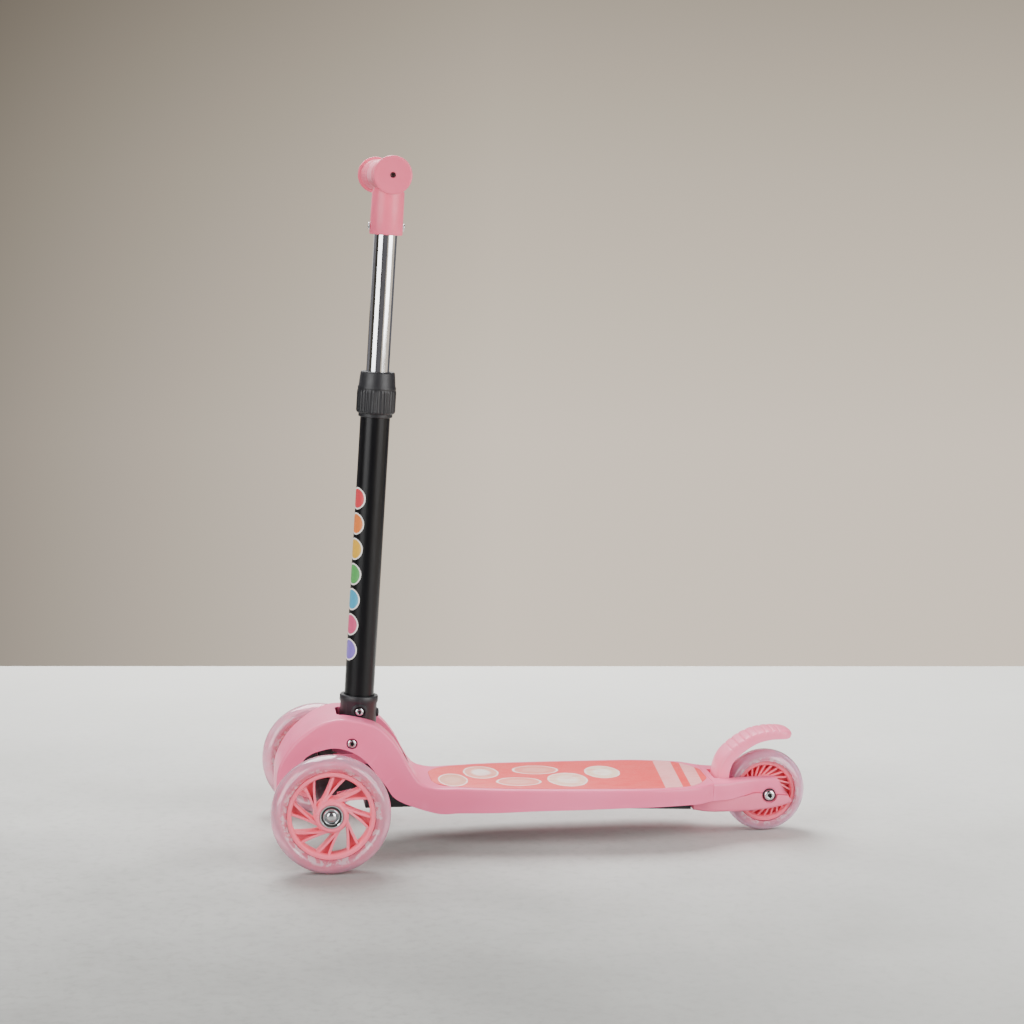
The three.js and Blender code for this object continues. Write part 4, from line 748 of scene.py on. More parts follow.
def make_shell():
    shell = new_object("shell_skin", shell_loft(0, 0, 1, SHELL_STEPS))
    inside = new_object("shell_inside", shell_loft(WALL, OVERRUN, HOLLOW_END, SHELL_STEPS // 2))
    top = ARCH_HEIGHT + OVERRUN
    housing = box(SLOT_HALF + WALL, SLOT_FRONT - WALL, SLOT_REAR + WALL, SLOT_FLOOR, top)
    hollow = taken_back(carved(inside, [housing]))
    slot = rounded_rectangle(-SLOT_HALF, SLOT_HALF, behind(SLOT_FRONT), behind(SLOT_REAR), SLOT_CORNER)
    deck = DECK_TOP_FRONT + OVERRUN
    carved(shell, [
        hollow,
        prism(slot, DECK_TOP_FRONT + WALL, top),
        panel_slab(0, -PANEL_RECESS, OVERRUN),
        wheel_room(deck),
        box(FORK_GAP_HALF, NOTCH_FRONT, FORK_GAP_FRONT + OVERRUN, PIN_Z - PIN_ROOM, deck),
        *side_rods(FOLD_SEAT, FOLD_HALF_WIDTH - FOLD_SEAT_DEPTH, FOLD_HALF_WIDTH + OVERRUN, FOLD_RUN, FOLD_Z),
        *axle_recesses(),
        seam_cutter(),
    ])
    carved(shell, [side_prism(SKIRT, x, x + WALL) for x in (SLOT_HALF, -SLOT_HALF - WALL)], "UNION")
    piece(shell, 32, "deck", PINK, ["deck_shell"])


def make_panel():
    panel = softened(new_object("foot_panel", panel_slab(PANEL_GAP, -0.7, 0.25)), 0.3)
    piece(panel, 30, "deck", CORAL, ["deck_panel"])


# Rear cover's run, height of the lower edge and half width, as shares
COVER_SHARES = [
    (-1.87, 0.7, 1.1), (-1.5, 0.66, 1.2), (-1.07, 0.645, 1.16), (-0.5, 0.63, 1.04), (0, 0.67, 1),
    (0.3, 0.73, 1), (0.48, 0.79, 1), (0.57, 0.83, 1),
]
COVER_TIP = (0.62, 0.756)  # on the line of the shell's slanted end
COVER_START = 0.7  # of the shell's length, ahead of the cover
COVER_STEPS = 48
COVER_CORNER = 3
COVER_GAP = 0.3
COVER_SCREW_X = 17.4
COVER_SCREW_RUN = 373.5
COVER_SCREW_ROOM = [(0, 0), (3.5, 0), (3.5, 27.9), (1.8, 27.9), (1.8, 37.2), (0, 37.2)]


def above_cover():
    """All that lies over the shell's lower edge and beyond its slanted end."""
    lower = [spline(LOWER, lerp(COVER_START, 1, i / COVER_STEPS)) for i in range(COVER_STEPS + 1)]
    outline = [(p.x, p.y - COVER_GAP) for p in lower]
    tip_run, tip_height = WHEELBASE + COVER_TIP[0] * REAR_RADIUS, COVER_TIP[1] * REAR_RADIUS
    far, high = WHEELBASE + 2 * REAR_RADIUS, 2 * REAR_RADIUS
    outline += [(tip_run, tip_height), (far, tip_height), (far, high), (outline[0][0], high)]
    return side_prism(outline, -DECK_HALF_WIDTH, DECK_HALF_WIDTH)


def make_cover():
    rings = []
    for i in range(COVER_STEPS + 1):
        run, height, width = spline(COVER_SHARES, i / COVER_STEPS)
        y, low, half = REAR_AXLE_Y + run * REAR_RADIUS, height * REAR_RADIUS, width * FORK_HALF_WIDTH
        right = arc((half - COVER_CORNER, low + COVER_CORNER), COVER_CORNER, -90, 0, 5)
        right.append((half, REAR_RADIUS + WALL))
        rings.append([(x, y, z) for x, z in right] + [(-x, y, z) for x, z in right[::-1]])
    cover = new_object("rear_cover_skin", loft(rings))
    screws = [moved(lathe(COVER_SCREW_ROOM, 24), at(side * COVER_SCREW_X, behind(COVER_SCREW_RUN), 0))
              for side, _ in BOTH_SIDES]
    carved(cover, [above_cover(), wheel_room(2 * REAR_RADIUS), *axle_recesses(), *screws])
    piece(cover, 32, "deck", COVER_PINK, ["rear_cover"])


FENDER_SHARES = [
    (-1.275, 0.22), (-1.26, 0.44), (-1.215, 0.66), (-1.1, 0.91), (-0.88, 1.14), (-0.6, 1.34),
    (-0.3, 1.48), (0.02, 1.545), (0.3, 1.55), (0.5, 1.53), (0.665, 1.48),
]
FENDER_HALF = 18
FENDER_STEPS = 170
FENDER_CROWDING = 1.25  # above one, the sections stand closer together towards the end
FENDER_RIBS = 8
FENDER_RIBBED = (0.36, 0.82)
FENDER_WALL = 3.2
FENDER_ROOF = 3.5
FENDER_SHOULDER = (3.4, 4, 5)  # its rounding across and up, and its foot's depth below the crown
FENDER_CROWN = 0.35
GROOVE_DEPTH = 0.8
GROOVE_HALF = 0.16  # of the ribs' pitch
SKIRT_START = 12.8
SKIRT_END = 8.4
TIP_SHARE = 0.11  # of the length, over which the end rounds when seen from the side
TIP_FLAT = 0.12
NOSE_SHARE = 0.19  # the same, seen from above
NOSE_WIDTH = 0.3


def fender_section(share):
    """The section's outline, as (across, height)."""
    to_nose = max(share - 1 + NOSE_SHARE, 0) / NOSE_SHARE
    half = FENDER_HALF * lerp(NOSE_WIDTH, 1, sqrt(max(0, 1 - to_nose**2)))
    skirt = lerp(SKIRT_START, SKIRT_END, share)
    place = (share - FENDER_RIBBED[0]) / (FENDER_RIBBED[1] - FENDER_RIBBED[0])
    groove = 0
    if 0 < place < 1:
        groove = GROOVE_DEPTH * max(0, 1 - abs((place * FENDER_RIBS) % 1 - 0.5) / GROOVE_HALF)
    in_by, up_by, depth = FENDER_SHOULDER
    over = [(-half, -skirt), (-half, -depth - groove)]
    turns = [pi / 8 * k for k in range(1, 5)]
    over += [(-half + in_by * (1 - cos(t)), -depth + up_by * sin(t) - groove) for t in turns]
    over += [(-half * 0.5, -FENDER_CROWN - groove), (0, -groove)]
    inner = half - FENDER_WALL
    under = [(inner, -skirt), (inner, 0.2 - depth), (inner * 0.5, -FENDER_ROOF)]
    outline = over + [(-x, h) for x, h in over[-2::-1]] + under + [(-x, h) for x, h in under[::-1]]
    to_tip = max(share - 1 + TIP_SHARE, 0) / TIP_SHARE
    flat = max(TIP_FLAT, sqrt(max(0, 1 - to_tip**2)))
    middle = -skirt / 2
    return [(x, middle + (h - middle) * flat) for x, h in outline]


def make_fender():
    crown = [(run * REAR_RADIUS, REAR_RADIUS + height * REAR_RADIUS) for run, height in FENDER_SHARES]
    near = 0.004
    rings = []
    for i in range(FENDER_STEPS + 1):
        share = 1 - (1 - i / FENDER_STEPS) ** FENDER_CROWDING
        middle = spline(crown, share)
        along = (spline(crown, min(1, share + near)) - spline(crown, max(0, share - near))).normalized()
        rings.append([(x, REAR_AXLE_Y + middle.x - along.y * h, middle.y + along.x * h)
                      for x, h in fender_section(share)])
    pin = ring(0, PIN_RADIUS, -FENDER_HALF, FENDER_HALF, SMALL_SIDES)
    pin = moved(pin, outward(1, 0, behind(PIN_RUN), PIN_Z))
    fender = new_object("fender_skin", joined([loft(rings), pin]))
    piece(fender, 42, "fender", FENDER_PINK, ["brake_fender"])


# Wheels
SEAT_GAP = 0.3
TYRE_CROWN = 10.2  # depth of the tread's rounding
TYRE_HALF = 12
TYRE_FOOT_HALF = 7.5
LAMP_GROOVE = (5.4, 3.3)  # its depth and half width
LAMP_BAND = (1.2, 3)  # its thickness and half width
LAMP_SIZE = (2.1, 5.5, 2.6)
LAMP_OUT = 2.9
LAMP_TURN = 0.2
BAND = 4.4
BAND_HALF = 8.5
BAND_LIP = (1.2, 6.4)  # slope of the band's inner edge: its rise and where it starts
HUB = 15.2
HUB_OUTSIDE = [(11.3, -12), (12.8, -12), (13.6, -11.5), (HUB, -8.6), (HUB + 0.8, -7)]
HUB_INSIDE = [(11.3, 3.5), (7, 3.5)]
SPOKE_LEAN = 0.87  # distance of a spoke's line from the axle, as a share of its inner end's radius
SPOKE_FOOT = HUB - 0.6
SPOKE_PAIRS = 8
SPOKE_WIDTH = 2.1
PAIR_SPREAD = 0.19  # of the pitch, from a pair's middle to each of its spokes at the band
PAIR_ROOT = 0.07
PAIR_TURN = 0.1
REAR_SPOKES = 24
REAR_SPOKE_WIDTH = 1.5
SPOKE_STEPS = 10
SPOKE_TAPER = 0.6  # power of a spoke's fall in height
WEB_HALF = 1.2
WEB_ROOT = 0.2  # of its spread at the band
RACES = [
    [(9.2, 4), (11, 4), (11, 10.5), (10.6, 10.9), (9.6, 10.9), (9.2, 10.5)],
    [(6.3, 4), (7.6, 4), (7.6, 10.5), (7.2, 10.9), (6.7, 10.9), (6.3, 10.5)],
]
SEAL = [(7.5, 9.6), (9.3, 9.6), (9.3, 10.2), (8.6, 10.35), (7.5, 10.2)]


def make_tyre(name, radius, seat, material, place):
    foot = seat + SEAT_GAP
    turns = [radians(a) for a in range(-90, 91, 9)]
    profile = [(foot, -TYRE_FOOT_HALF)]
    profile += [(radius - TYRE_CROWN * (1 - cos(t)), TYRE_HALF * sin(t)) for t in turns]
    profile.append((foot, TYRE_FOOT_HALF))
    depth, half = LAMP_GROOVE
    profile += both_ways([(foot, half), (foot + depth, half)])
    tyre = softened(new_object(f"{name}_tyre_skin", lathe(profile, WHEEL_SIDES)), 0.5)
    piece(tyre, 40, name, material, [f"{name}_tyre"], place)


def make_lamps(name, seat, lamps, place):
    """Capsules on a clear band."""
    foot = seat + SEAT_GAP
    thickness, half = LAMP_BAND
    parts = [ring(foot, foot + thickness, -half, half, WHEEL_SIDES)]
    for i in range(lamps):
        capsule = bmesh.new()
        bmesh.ops.create_uvsphere(capsule, u_segments=20, v_segments=12, radius=1)
        turn = Matrix.Rotation(2 * pi * i / lamps + LAMP_TURN, 4, "Z")
        parts.append(moved(capsule, turn @ at(foot + LAMP_OUT, 0, 0) @ Matrix.Diagonal((*LAMP_SIZE, 1))))
    lit = new_object(f"{name}_lamp_skin", joined(parts))
    piece(lit, 40, name, LAMP, [f"{name}_lamps"], place)


def turn_at(radius, inner):
    """How far a leaning spoke has turned at a radius."""
    return acos(min(1, inner * SPOKE_LEAN / radius)) - acos(SPOKE_LEAN)


def on_circle(radius, turn):
    return radius * cos(turn), radius * sin(turn)


def blade(inner, outer, angle, fan, width, high_in, high_out, steps):
    """A spoke that fans out by an angle on its way, with heights at both ends."""
    rings = []
    for i in range(steps + 1):
        share = i / steps
        radius = lerp(inner, outer, share)
        turn = angle - turn_at(radius, inner) + fan * share
        half = width / 2 / radius / max(0.5, sqrt(1 - (inner * SPOKE_LEAN / radius) ** 2))
        high = lerp(high_in, high_out, share**SPOKE_TAPER)
        (ax, ay), (bx, by) = on_circle(radius, turn + half), on_circle(radius, turn - half)
        rings.append([(ax, ay, -high), (ax, ay, high), (bx, by, high), (bx, by, -high)])
    return loft(rings)


def web_plate(inner, outer, angle, fan):
    """The thin floor between two spokes."""
    left, right = [], []
    for i in range(SPOKE_STEPS + 1):
        radius = lerp(inner, outer, i / SPOKE_STEPS)
        for side, line in ((1, left), (-1, right)):
            spread = lerp(WEB_ROOT, 1, i / SPOKE_STEPS)
            turn = angle - turn_at(radius, inner) + side * fan * spread
            line.append(on_circle(radius, turn))
    return prism(left + right[::-1], -WEB_HALF, WEB_HALF)


def rim_rings(radius):
    """Band under the tyre and hub round the bearings."""
    inner = radius - BAND
    rise, start = BAND_LIP
    band = both_ways([(inner, -start), (inner + rise, -BAND_HALF), (radius, -BAND_HALF)])
    hub = both_ways(HUB_OUTSIDE) + both_ways(HUB_INSIDE)
    return [lathe(band, WHEEL_SIDES), lathe(hub, ROUND_SIDES)]


def add_rim(name, radius, spokes, web, soft, place):
    rim = softened(new_object(f"{name}_rim_skin", joined(rim_rings(radius) + spokes)), soft)
    piece(rim, 35, name, RIM_PINK, [f"{name}_rim"], place)
    # The webs take the darker pink that is painted shade
    piece(new_object(f"{name}_rim_webs", web), 35, name, RIM_WEB_SHADED_PINK, (), place)


def make_front_rim(name, place):
    end = FRONT_RIM - BAND + 1
    pitch = 2 * pi / SPOKE_PAIRS
    spokes, webs = [], []
    for i in range(SPOKE_PAIRS):
        middle = (i + 0.5) * pitch + PAIR_TURN
        for side, _ in BOTH_SIDES:
            start = middle + side * PAIR_ROOT * pitch
            fan = side * (PAIR_SPREAD - PAIR_ROOT) * pitch
            spokes.append(blade(SPOKE_FOOT, end, start, fan, SPOKE_WIDTH, 9.4, 6.3, SPOKE_STEPS))
        webs.append(web_plate(SPOKE_FOOT, end, middle, PAIR_SPREAD * pitch))
    add_rim(name, FRONT_RIM, spokes, joined(webs), 0.4, place)


def make_rear_rim(name, place):
    end = REAR_RIM - BAND + 1
    spokes = [blade(SPOKE_FOOT, end, 2 * pi * i / REAR_SPOKES, 0, REAR_SPOKE_WIDTH, 7.4, 6.2, 6)
              for i in range(REAR_SPOKES)]
    add_rim(name, REAR_RIM, spokes, ring(HUB - 1, end, -WEB_HALF, WEB_HALF, ROUND_SIDES), 0.25, place)


def make_bearings(name, place):
    """Outer race, dark seal and inner race of the bearing on each side."""
    for side, tag in BOTH_SIDES:
        flip = Matrix.Diagonal((1, 1, side, 1))
        races = joined([lathe(profile, BEARING_SIDES) for profile in RACES])
        race = new_object(f"{name}_race_{tag}", moved(races, flip))
        piece(race, 35, name, CHROME, [f"{name}_bearing_{tag}"], place)
        seal = new_object(f"{name}_seal_{tag}", moved(lathe(SEAL, BEARING_SIDES), flip))
        piece(seal, 35, name, BLACK_SEAL_AND_SHADE, (), place)


def make_wheels():
    for name, x in (("wheel_left", WHEEL_X), ("wheel_right", -WHEEL_X)):
        place = wheel_frame(x, FRONT_AXLE_Y, FRONT_RADIUS)
        make_tyre(name, FRONT_RADIUS, FRONT_RIM, FRONT_TYRE, place)
        make_lamps(name, FRONT_RIM, 8, place)
        make_front_rim(name, place)
        make_bearings(name, place)
    name, place = "wheel_rear", wheel_frame(0, REAR_AXLE_Y, REAR_RADIUS)
    make_tyre(name, REAR_RADIUS, REAR_RIM, REAR_TYRE, place)
    make_lamps(name, REAR_RIM, 6, place)
    make_rear_rim(name, place)
    make_bearings(name, place)


# Bolts and screws
HEAD_FLAT = 0.55  # these four are shares of a head's radius and height
HEAD_WALL = 0.35
HEX_CORNER = 0.47
HEX_FLOOR = 0.3
AXLE_CAP = 4.6
AXLE_CAP_WALL = 1.05
AXLE_CAP_RISE = 1.95
AXLE_CAP_SUNK = 3
SHADE_RING_HEIGHT = 0.9
SHADE_RING_SUNK = 0.2


def socket_head(radius, height):
    """A button head with a hexagon socket, its seat at zero. The socket's faces take the second material."""
    rounding = dome(radius * (1 - HEAD_FLAT), height * HEAD_WALL, height * (1 - HEAD_WALL), 6)
    outside = [(0, 0), (radius, 0)] + [(radius * HEAD_FLAT + r, z) for r, z in rounding]

    def profile(turn):
        away = turn % (pi / 3) - pi / 6
        hexagon = radius * HEX_CORNER * cos(pi / 6) / cos(away)
        return outside + [(hexagon + radius * 0.05, height), (hexagon, height * 0.94),
                          (hexagon, height * HEX_FLOOR), (0, height * HEX_FLOOR)]

    return lathe(profile, SMALL_SIDES, lined=2)


def add_head(name, radius, height, matrix, body, node, place=None):
    head = new_object(name, moved(socket_head(radius, height), matrix))
    piece(head, 32, body, [CHROME, BLACK_SEAL_AND_SHADE], [node], place)


def make_axle_caps():
    profile = [(0, 0), (AXLE_CAP, 0)] + dome(AXLE_CAP, AXLE_CAP_WALL, AXLE_CAP_RISE, 9)
    seat = WHEEL_X + TYRE_WIDTH / 2 - AXLE_CAP_SUNK
    for side, tag in BOTH_SIDES:
        cap = moved(lathe(profile, BOLT_SIDES), outward(side, seat, FRONT_AXLE_Y, FRONT_RADIUS))
        cap = new_object(f"axle_dome_{tag}", cap)
        piece(cap, 40, "truck", CHROME, [f"axle_cap_{tag}"])


def make_cross_bolts():
    """Heads of the fold bolt and the rear axle's bolt, and dark rings round them that are painted shade in
    their recesses.
    """
    rear_seat = AXLE_SEAT + 0.3
    bolts = [
        ("fold", ("fold_bolt", "fold_nut"), 4.4, FOLD_HALF_WIDTH - 2.7, FOLD_RUN, FOLD_Z),
        ("axle", ("rear_axle_bolt", "rear_axle_nut"), 5.2, rear_seat, WHEELBASE, REAR_RADIUS),
    ]
    # Inner and outer radii of the dark rings that are painted shade
    shade_rings = {"axle": (5.4, 6.4), "fold": (4.5, 5.0)}
    for i, (side, tag) in enumerate(BOTH_SIDES):
        for _, nodes, radius, seat, run, z in bolts:
            add_head(f"{nodes[i]}_head", radius, 3, outward(side, seat, behind(run), z), "deck", nodes[i])
        for part, _, _, seat, run, z in bolts[::-1]:
            inner, outer = shade_rings[part]
            profile = [(inner, 0), (outer, 0), (outer, SHADE_RING_HEIGHT - 0.4), (outer - 0.4, SHADE_RING_HEIGHT),
                       (inner + 0.2, SHADE_RING_HEIGHT), (inner, SHADE_RING_HEIGHT - 0.3)]
            facing = outward(side, seat - SHADE_RING_SUNK, behind(run), z)
            # Painted shade: a dark ring in the recess round each head
            shade_ring = new_object(f"{part}_washer_{tag}", moved(lathe(profile, BOLT_SIDES), facing))
            piece(shade_ring, 40, "deck", BLACK_SEAL_AND_SHADE)


# Stem: local frame, along Z from the floor
SOCKET_RADIUS = 17.4
SOCKET_BORE = 14.2
SOCKET_TOP = 142.3
SHOULDER = 104
CLAMP = 128.4
CLAMP_BOSS = [(0, -18.6), (6.4, -18.6), (7.4, -17.6)]
CLAMP_SEAT = [(0, 16.6), (5.2, 16.6), (5.6, 20), (0, 20)]
CLAMP_HEAD_SEAT = 16.9
BUTTON = at(0, 0, 125.5) @ Matrix.Rotation(-pi / 2, 4, "X")
BUTTON_RADIUS = 4.3
BUTTON_FOOT = 14
BUTTON_RIM = 18
BUTTON_RISE = 1.8
BUTTON_GAP = 0.3
LUG_RADIUS = 11.2
COLLAR_BOTTOM = 407
COLLAR_TOP = 449.5
COLLAR_RIBS = 30
COLLAR_RIB_DEPTH = 0.75
GRIP_TOP = 433.4
TUBE_RADIUS = 14
TUBE_BORE = 12.5
TUBE_BOTTOM = 111
TUBE_FLOOR = TUBE_BOTTOM - 0.3
TUBE_MOUTH = COLLAR_TOP - 7
UPPER_RADIUS = 11
UPPER_BORE = 9.5
UPPER_BOTTOM = 286
HANDLE_SOCKET = 15.5
HANDLE_BOTTOM = 577
HANDLE_BORE_TOP = HANDLE_BOTTOM + 40
HANDLE_SCREW = 584.5
CROSSBAR = 14
CROSSBAR_HALF = 30
CROSSBAR_FORWARD = 5


def button_well():
    """Room for the lock button in the socket's and the tube's rear wall."""
    return moved(ring(0, BUTTON_RADIUS + BUTTON_GAP, 0, 24, SMALL_SIDES), BUTTON)


def make_socket():
    wide, lip = SOCKET_RADIUS + 0.4, SOCKET_RADIUS + 0.9
    barrel = new_object("socket_body", lathe([
        (0, SHOULDER), (wide, SHOULDER), (SOCKET_RADIUS, SOCKET_TOP - 7.5), (lip, SOCKET_TOP - 5.5),
        (lip, SOCKET_TOP - 1.2), (SOCKET_RADIUS + 0.3, SOCKET_TOP), (SOCKET_BORE + 0.3, SOCKET_TOP),
        (SOCKET_BORE, SOCKET_TOP - 1), (SOCKET_BORE, TUBE_FLOOR), (0, TUBE_FLOOR),
    ], ROUND_SIDES))
    lug = [(-SOCKET_RADIUS, SHOULDER)] + arc((-FOLD_FORWARD, FOLD_ALONG), LUG_RADIUS, 180, 310, 18)
    lug += [(SOCKET_RADIUS, SHOULDER), (SOCKET_RADIUS, SHOULDER + 1), (-SOCKET_RADIUS, SHOULDER + 1)]
    foot = loft([[(x, y, z) for y, z in lug] for x in (-SOCKET_RADIUS, SOCKET_RADIUS)])
    foot = new_object("socket_foot", foot)
    carved(foot, [ring(0, SOCKET_RADIUS + 0.3, 80, 120, ROUND_SIDES)], "INTERSECT")
    boss = moved(lathe(both_ways(CLAMP_BOSS), BOLT_SIDES), outward(1, 0, 0, CLAMP))
    seats = [moved(lathe(CLAMP_SEAT, SMALL_SIDES), outward(side, 0, 0, CLAMP)) for side, _ in BOTH_SIDES]
    room = ring(0, SOCKET_BORE + 0.1, TUBE_FLOOR, 160, ROUND_SIDES)
    carved(barrel, [taken_back(foot), boss], "UNION")
    carved(barrel, [room, *seats, button_well()])
    piece(barrel, 35, "stem", BLACK, ["stem_socket"], STEM)


def make_stem_hardware():
    for side, node in ((1, "clamp_bolt"), (-1, "clamp_nut")):
        add_head(f"{node}_head", 4, 1.9, outward(side, CLAMP_HEAD_SEAT, 0, CLAMP), "stem", node, STEM)
    rounding = dome(BUTTON_RADIUS, BUTTON_RIM, BUTTON_RISE, 9, 0.6)
    profile = [(0, BUTTON_FOOT), (BUTTON_RADIUS, BUTTON_FOOT)] + rounding
    button = new_object("button_cap", moved(lathe(profile, 56), BUTTON))
    piece(button, 35, "button", BLACK, ["lock_button"], STEM)


def make_tubes():
    lower = new_object("black_tube", lathe([
        (TUBE_BORE, TUBE_BOTTOM), (TUBE_RADIUS, TUBE_BOTTOM), (TUBE_RADIUS, TUBE_MOUTH - 0.4),
        (TUBE_RADIUS - 0.4, TUBE_MOUTH), (TUBE_BORE + 0.4, TUBE_MOUTH), (TUBE_BORE, TUBE_MOUTH - 0.4),
    ], TUBE_SIDES))
    carved(lower, [button_well()])
    piece(lower, 35, "stem", PAINT, ["lower_tube"], STEM)
    tube = ring(UPPER_BORE, UPPER_RADIUS, UPPER_BOTTOM, HANDLE_BORE_TOP - 0.3, TUBE_SIDES)
    piece(new_object("chrome_tube", tube), 35, "handle", CHROME, ["upper_tube"], STEM)


# Collar's levels: radius, height above its bottom, the grip's top or its top, and how far it is ribbed
COLLAR_NECK = [
    (14.3, 0, 0), (15.6, 0, 0), (16, 0.5, 0), (16, 3.3, 0), (17.2, 3.6, 0), (18.2, 4.8, 0.5), (18.4, 6.2, 1),
]
COLLAR_GRIP = [
    (18.4, -3.2, 1), (18.2, -1.6, 0.5), (17.8, -0.6, 0), (18, 0.2, 0), (18, 1.6, 0), (17.4, 2.6, 0),
]
COLLAR_CONE = [(16.3, -2, 0), (15.9, -0.6, 0), (15.2, 0, 0), (11.7, 0, 0), (11.6, -6.7, 0), (14.3, -6.7, 0)]


def make_collar():
    """Smooth cone over a ribbed grip, with a short neck below."""
    parts = ((COLLAR_BOTTOM, COLLAR_NECK), (GRIP_TOP, COLLAR_GRIP), (COLLAR_TOP, COLLAR_CONE))
    levels = [(radius, base + z, ribbed) for base, part in parts for radius, z, ribbed in part]

    def profile(turn):
        rib = 0.5 + 0.5 * cos(turn * COLLAR_RIBS)
        depth = COLLAR_RIB_DEPTH * (1 - rib) ** 1.5
        return [(radius - depth * ribbed, z) for radius, z, ribbed in levels]

    collar = new_object("collar_skin", lathe(profile, COLLAR_RIBS * 8))
    piece(collar, 35, "collar", BLACK, ["twist_collar"], STEM)


# Grips: heights are distances from the handle's middle
GRIP_START = [(10.3, 30.3), (13.6, 30.3), (14.2, 31), (14.6, 33)]
GRIP_RIBS = 14
GRIP_RIBBED = (36.0, 97.0)
GRIP_RIB = [(14.6, 0), (14.6, 0.55), (14.0, 0.68), (14.0, 0.87)]  # radius at a share of a rib's length
GRIP_END = [(14.6, 97.0), (14.6, 99.6), (14.2, 100), (10.3, 100)]
GRIP_DISC = [
    (0, 100.3), (16.3, 100.3), (17.1, 100.6), (17.4, 101.4), (17.4, 103.8), (17.1, 104.6), (16.4, 105),
    (15.2, 105), (14.2, 104.8), (8, 104.6), (3, 104.6), (2.6, 104.3), (2.6, 101.2), (0, 101.2),
]
# A plug in the disc's hole, whose dark colour is painted shade
GRIP_PLUG = [
    (0, 101.4), (2.5, 101.4), (2.5, 104.3), (2.2, 104.5), (1.5, 104.4), (1.2, 103.4), (0.8, 103), (0, 103.2),
]


def make_handle():
    socket = new_object("handle_body", lathe([
        (0, HANDLE_BOTTOM), (HANDLE_SOCKET - 1, HANDLE_BOTTOM), (HANDLE_SOCKET - 0.3, HANDLE_BOTTOM + 0.3),
        (HANDLE_SOCKET, HANDLE_BOTTOM + 1), (HANDLE_SOCKET - 0.4, HANDLE_HEIGHT - 16),
        (CROSSBAR - 3, HANDLE_HEIGHT - 6), (CROSSBAR - CROSSBAR_FORWARD - 1, HANDLE_HEIGHT),
        (0, HANDLE_HEIGHT),
    ], ROUND_SIDES))
    end = -CROSSBAR_HALF
    bar = lathe(both_ways([(0, end), (10, end), (CROSSBAR - 0.8, end), (CROSSBAR, end + 0.8)]), ROUND_SIDES)
    carved(socket, [moved(bar, outward(1, 0, -CROSSBAR_FORWARD, HANDLE_HEIGHT))], "UNION")
    carved(socket, [ring(0, UPPER_RADIUS + 0.2, HANDLE_BOTTOM - 7, HANDLE_BORE_TOP, ROUND_SIDES)])
    piece(socket, 35, "handle", HANDLE_PINK, ["handle_core"], STEM)
    sleeve = list(GRIP_START)
    for i in range(GRIP_RIBS):
        a, b = (lerp(*GRIP_RIBBED, k / GRIP_RIBS) for k in (i, i + 1))
        sleeve += [(radius, lerp(a, b, share)) for radius, share in GRIP_RIB]
    sleeve += GRIP_END
    for side, tag in BOTH_SIDES:
        lift = outward(side, 0, -CROSSBAR_FORWARD, HANDLE_HEIGHT)
        grip = new_object(f"grip_sleeve_{tag}", moved(lathe(sleeve, ROUND_SIDES), lift))
        piece(grip, 40, "handle", GRIP_PINK, [f"grip_{tag}"], STEM)
        # The leaning stem is in the mesh, so that the box round the highest piece isn't a leaning one
        disc = moved(lathe(GRIP_DISC, ROUND_SIDES), stem_frame(1) @ lift)
        disc = new_object(f"grip_disc_{tag}", disc)
        piece(disc, 35, "handle", GRIP_PINK, [f"grip_cap_{tag}"])
        # The dark plug in the cap's hole is painted shade
        plug = new_object(f"grip_plug_{tag}", moved(lathe(GRIP_PLUG, 40), lift))
        piece(plug, 40, "handle", PLUG_PAINTED_SHADE, (), STEM)
    for turn, tag in ((pi / 2, "front"), (-pi / 2, "rear")):
        facing = at(0, 0, HANDLE_SCREW) @ Matrix.Rotation(turn, 4, "X") @ at(0, 0, HANDLE_SOCKET + 0.3)
        add_head(f"handle_screw_head_{tag}", 3.4, 1.4, facing, "handle", f"handle_screw_{tag}", STEM)


# Printed dots down the front of the black tube: height along the stem and colour
DOTS = [
    (330, "d8434b"), (306, "e9803c"), (282, "e6b23a"), (258, "57a85a"), (234, "4aa7c9"), (210, "d8567f"),
    (186, "8570c8"),
]
DOT_HALF = 10.5
DOT_RIM = 1.4
DOT_TURN = radians(24)  # from straight ahead towards the rider's left
DOT_ROWS = 8
DOT_SIDES = 40


def dot_patch(height, lift, inner, outer):
    """A round patch, or a ring, bent round the tube's front."""
    radius = TUBE_RADIUS + lift
    rings = []
    for i in range(DOT_ROWS + 1):
        across = lerp(inner, outer, i / DOT_ROWS)
        points = []
        for k in range(DOT_SIDES):
            side, up = on_circle(across, 2 * pi * k / DOT_SIDES)
            points.append((*on_circle(radius, -pi / 2 + DOT_TURN + side / radius), height + up))
        rings.append(points)
    return loft(rings, filled=False)


def make_dots():
    inks = [dot_patch(height, 0.07, 0.01, DOT_HALF - DOT_RIM) for height, _ in DOTS]
    rims = [dot_patch(height, 0.06, DOT_HALF - DOT_RIM - 0.1, DOT_HALF) for height, _ in DOTS]
    for i, patch in enumerate(inks + rims):
        for face in patch.faces:
            face.material_index = min(i, len(DOTS))
    paints = [dot_paint(f"dot_ink_{i + 1}", code) for i, (_, code) in enumerate(DOTS)]
    paints.append(dot_paint("dot_rim_ink", "f2eee8"))
    piece(new_object("stem_dots", joined(inks + rims)), 60, "stem", paints, (), STEM)


# Materials and slots of the CAD nodes that stay
KEPT = [
    (BLACK, "black_plastic", ["chassis_keel", "front_mount", "axle_beam", "steering_bush_front",
                              "steering_bush_rear", "tube_bush", "tube_plug"]),
    (STEEL, "steel", ["steering_bolt", "steering_nut", "axle_rod", "front_sleeve_left", "front_sleeve_right",
                      "rear_sleeve", "brake_pin", "keel_screw_1", "keel_screw_2", "keel_screw_3",
                      "cover_screw_1", "cover_screw_2"]),
]
EDGE_ROUNDING = 0.6
EDGE_ANGLE = 50


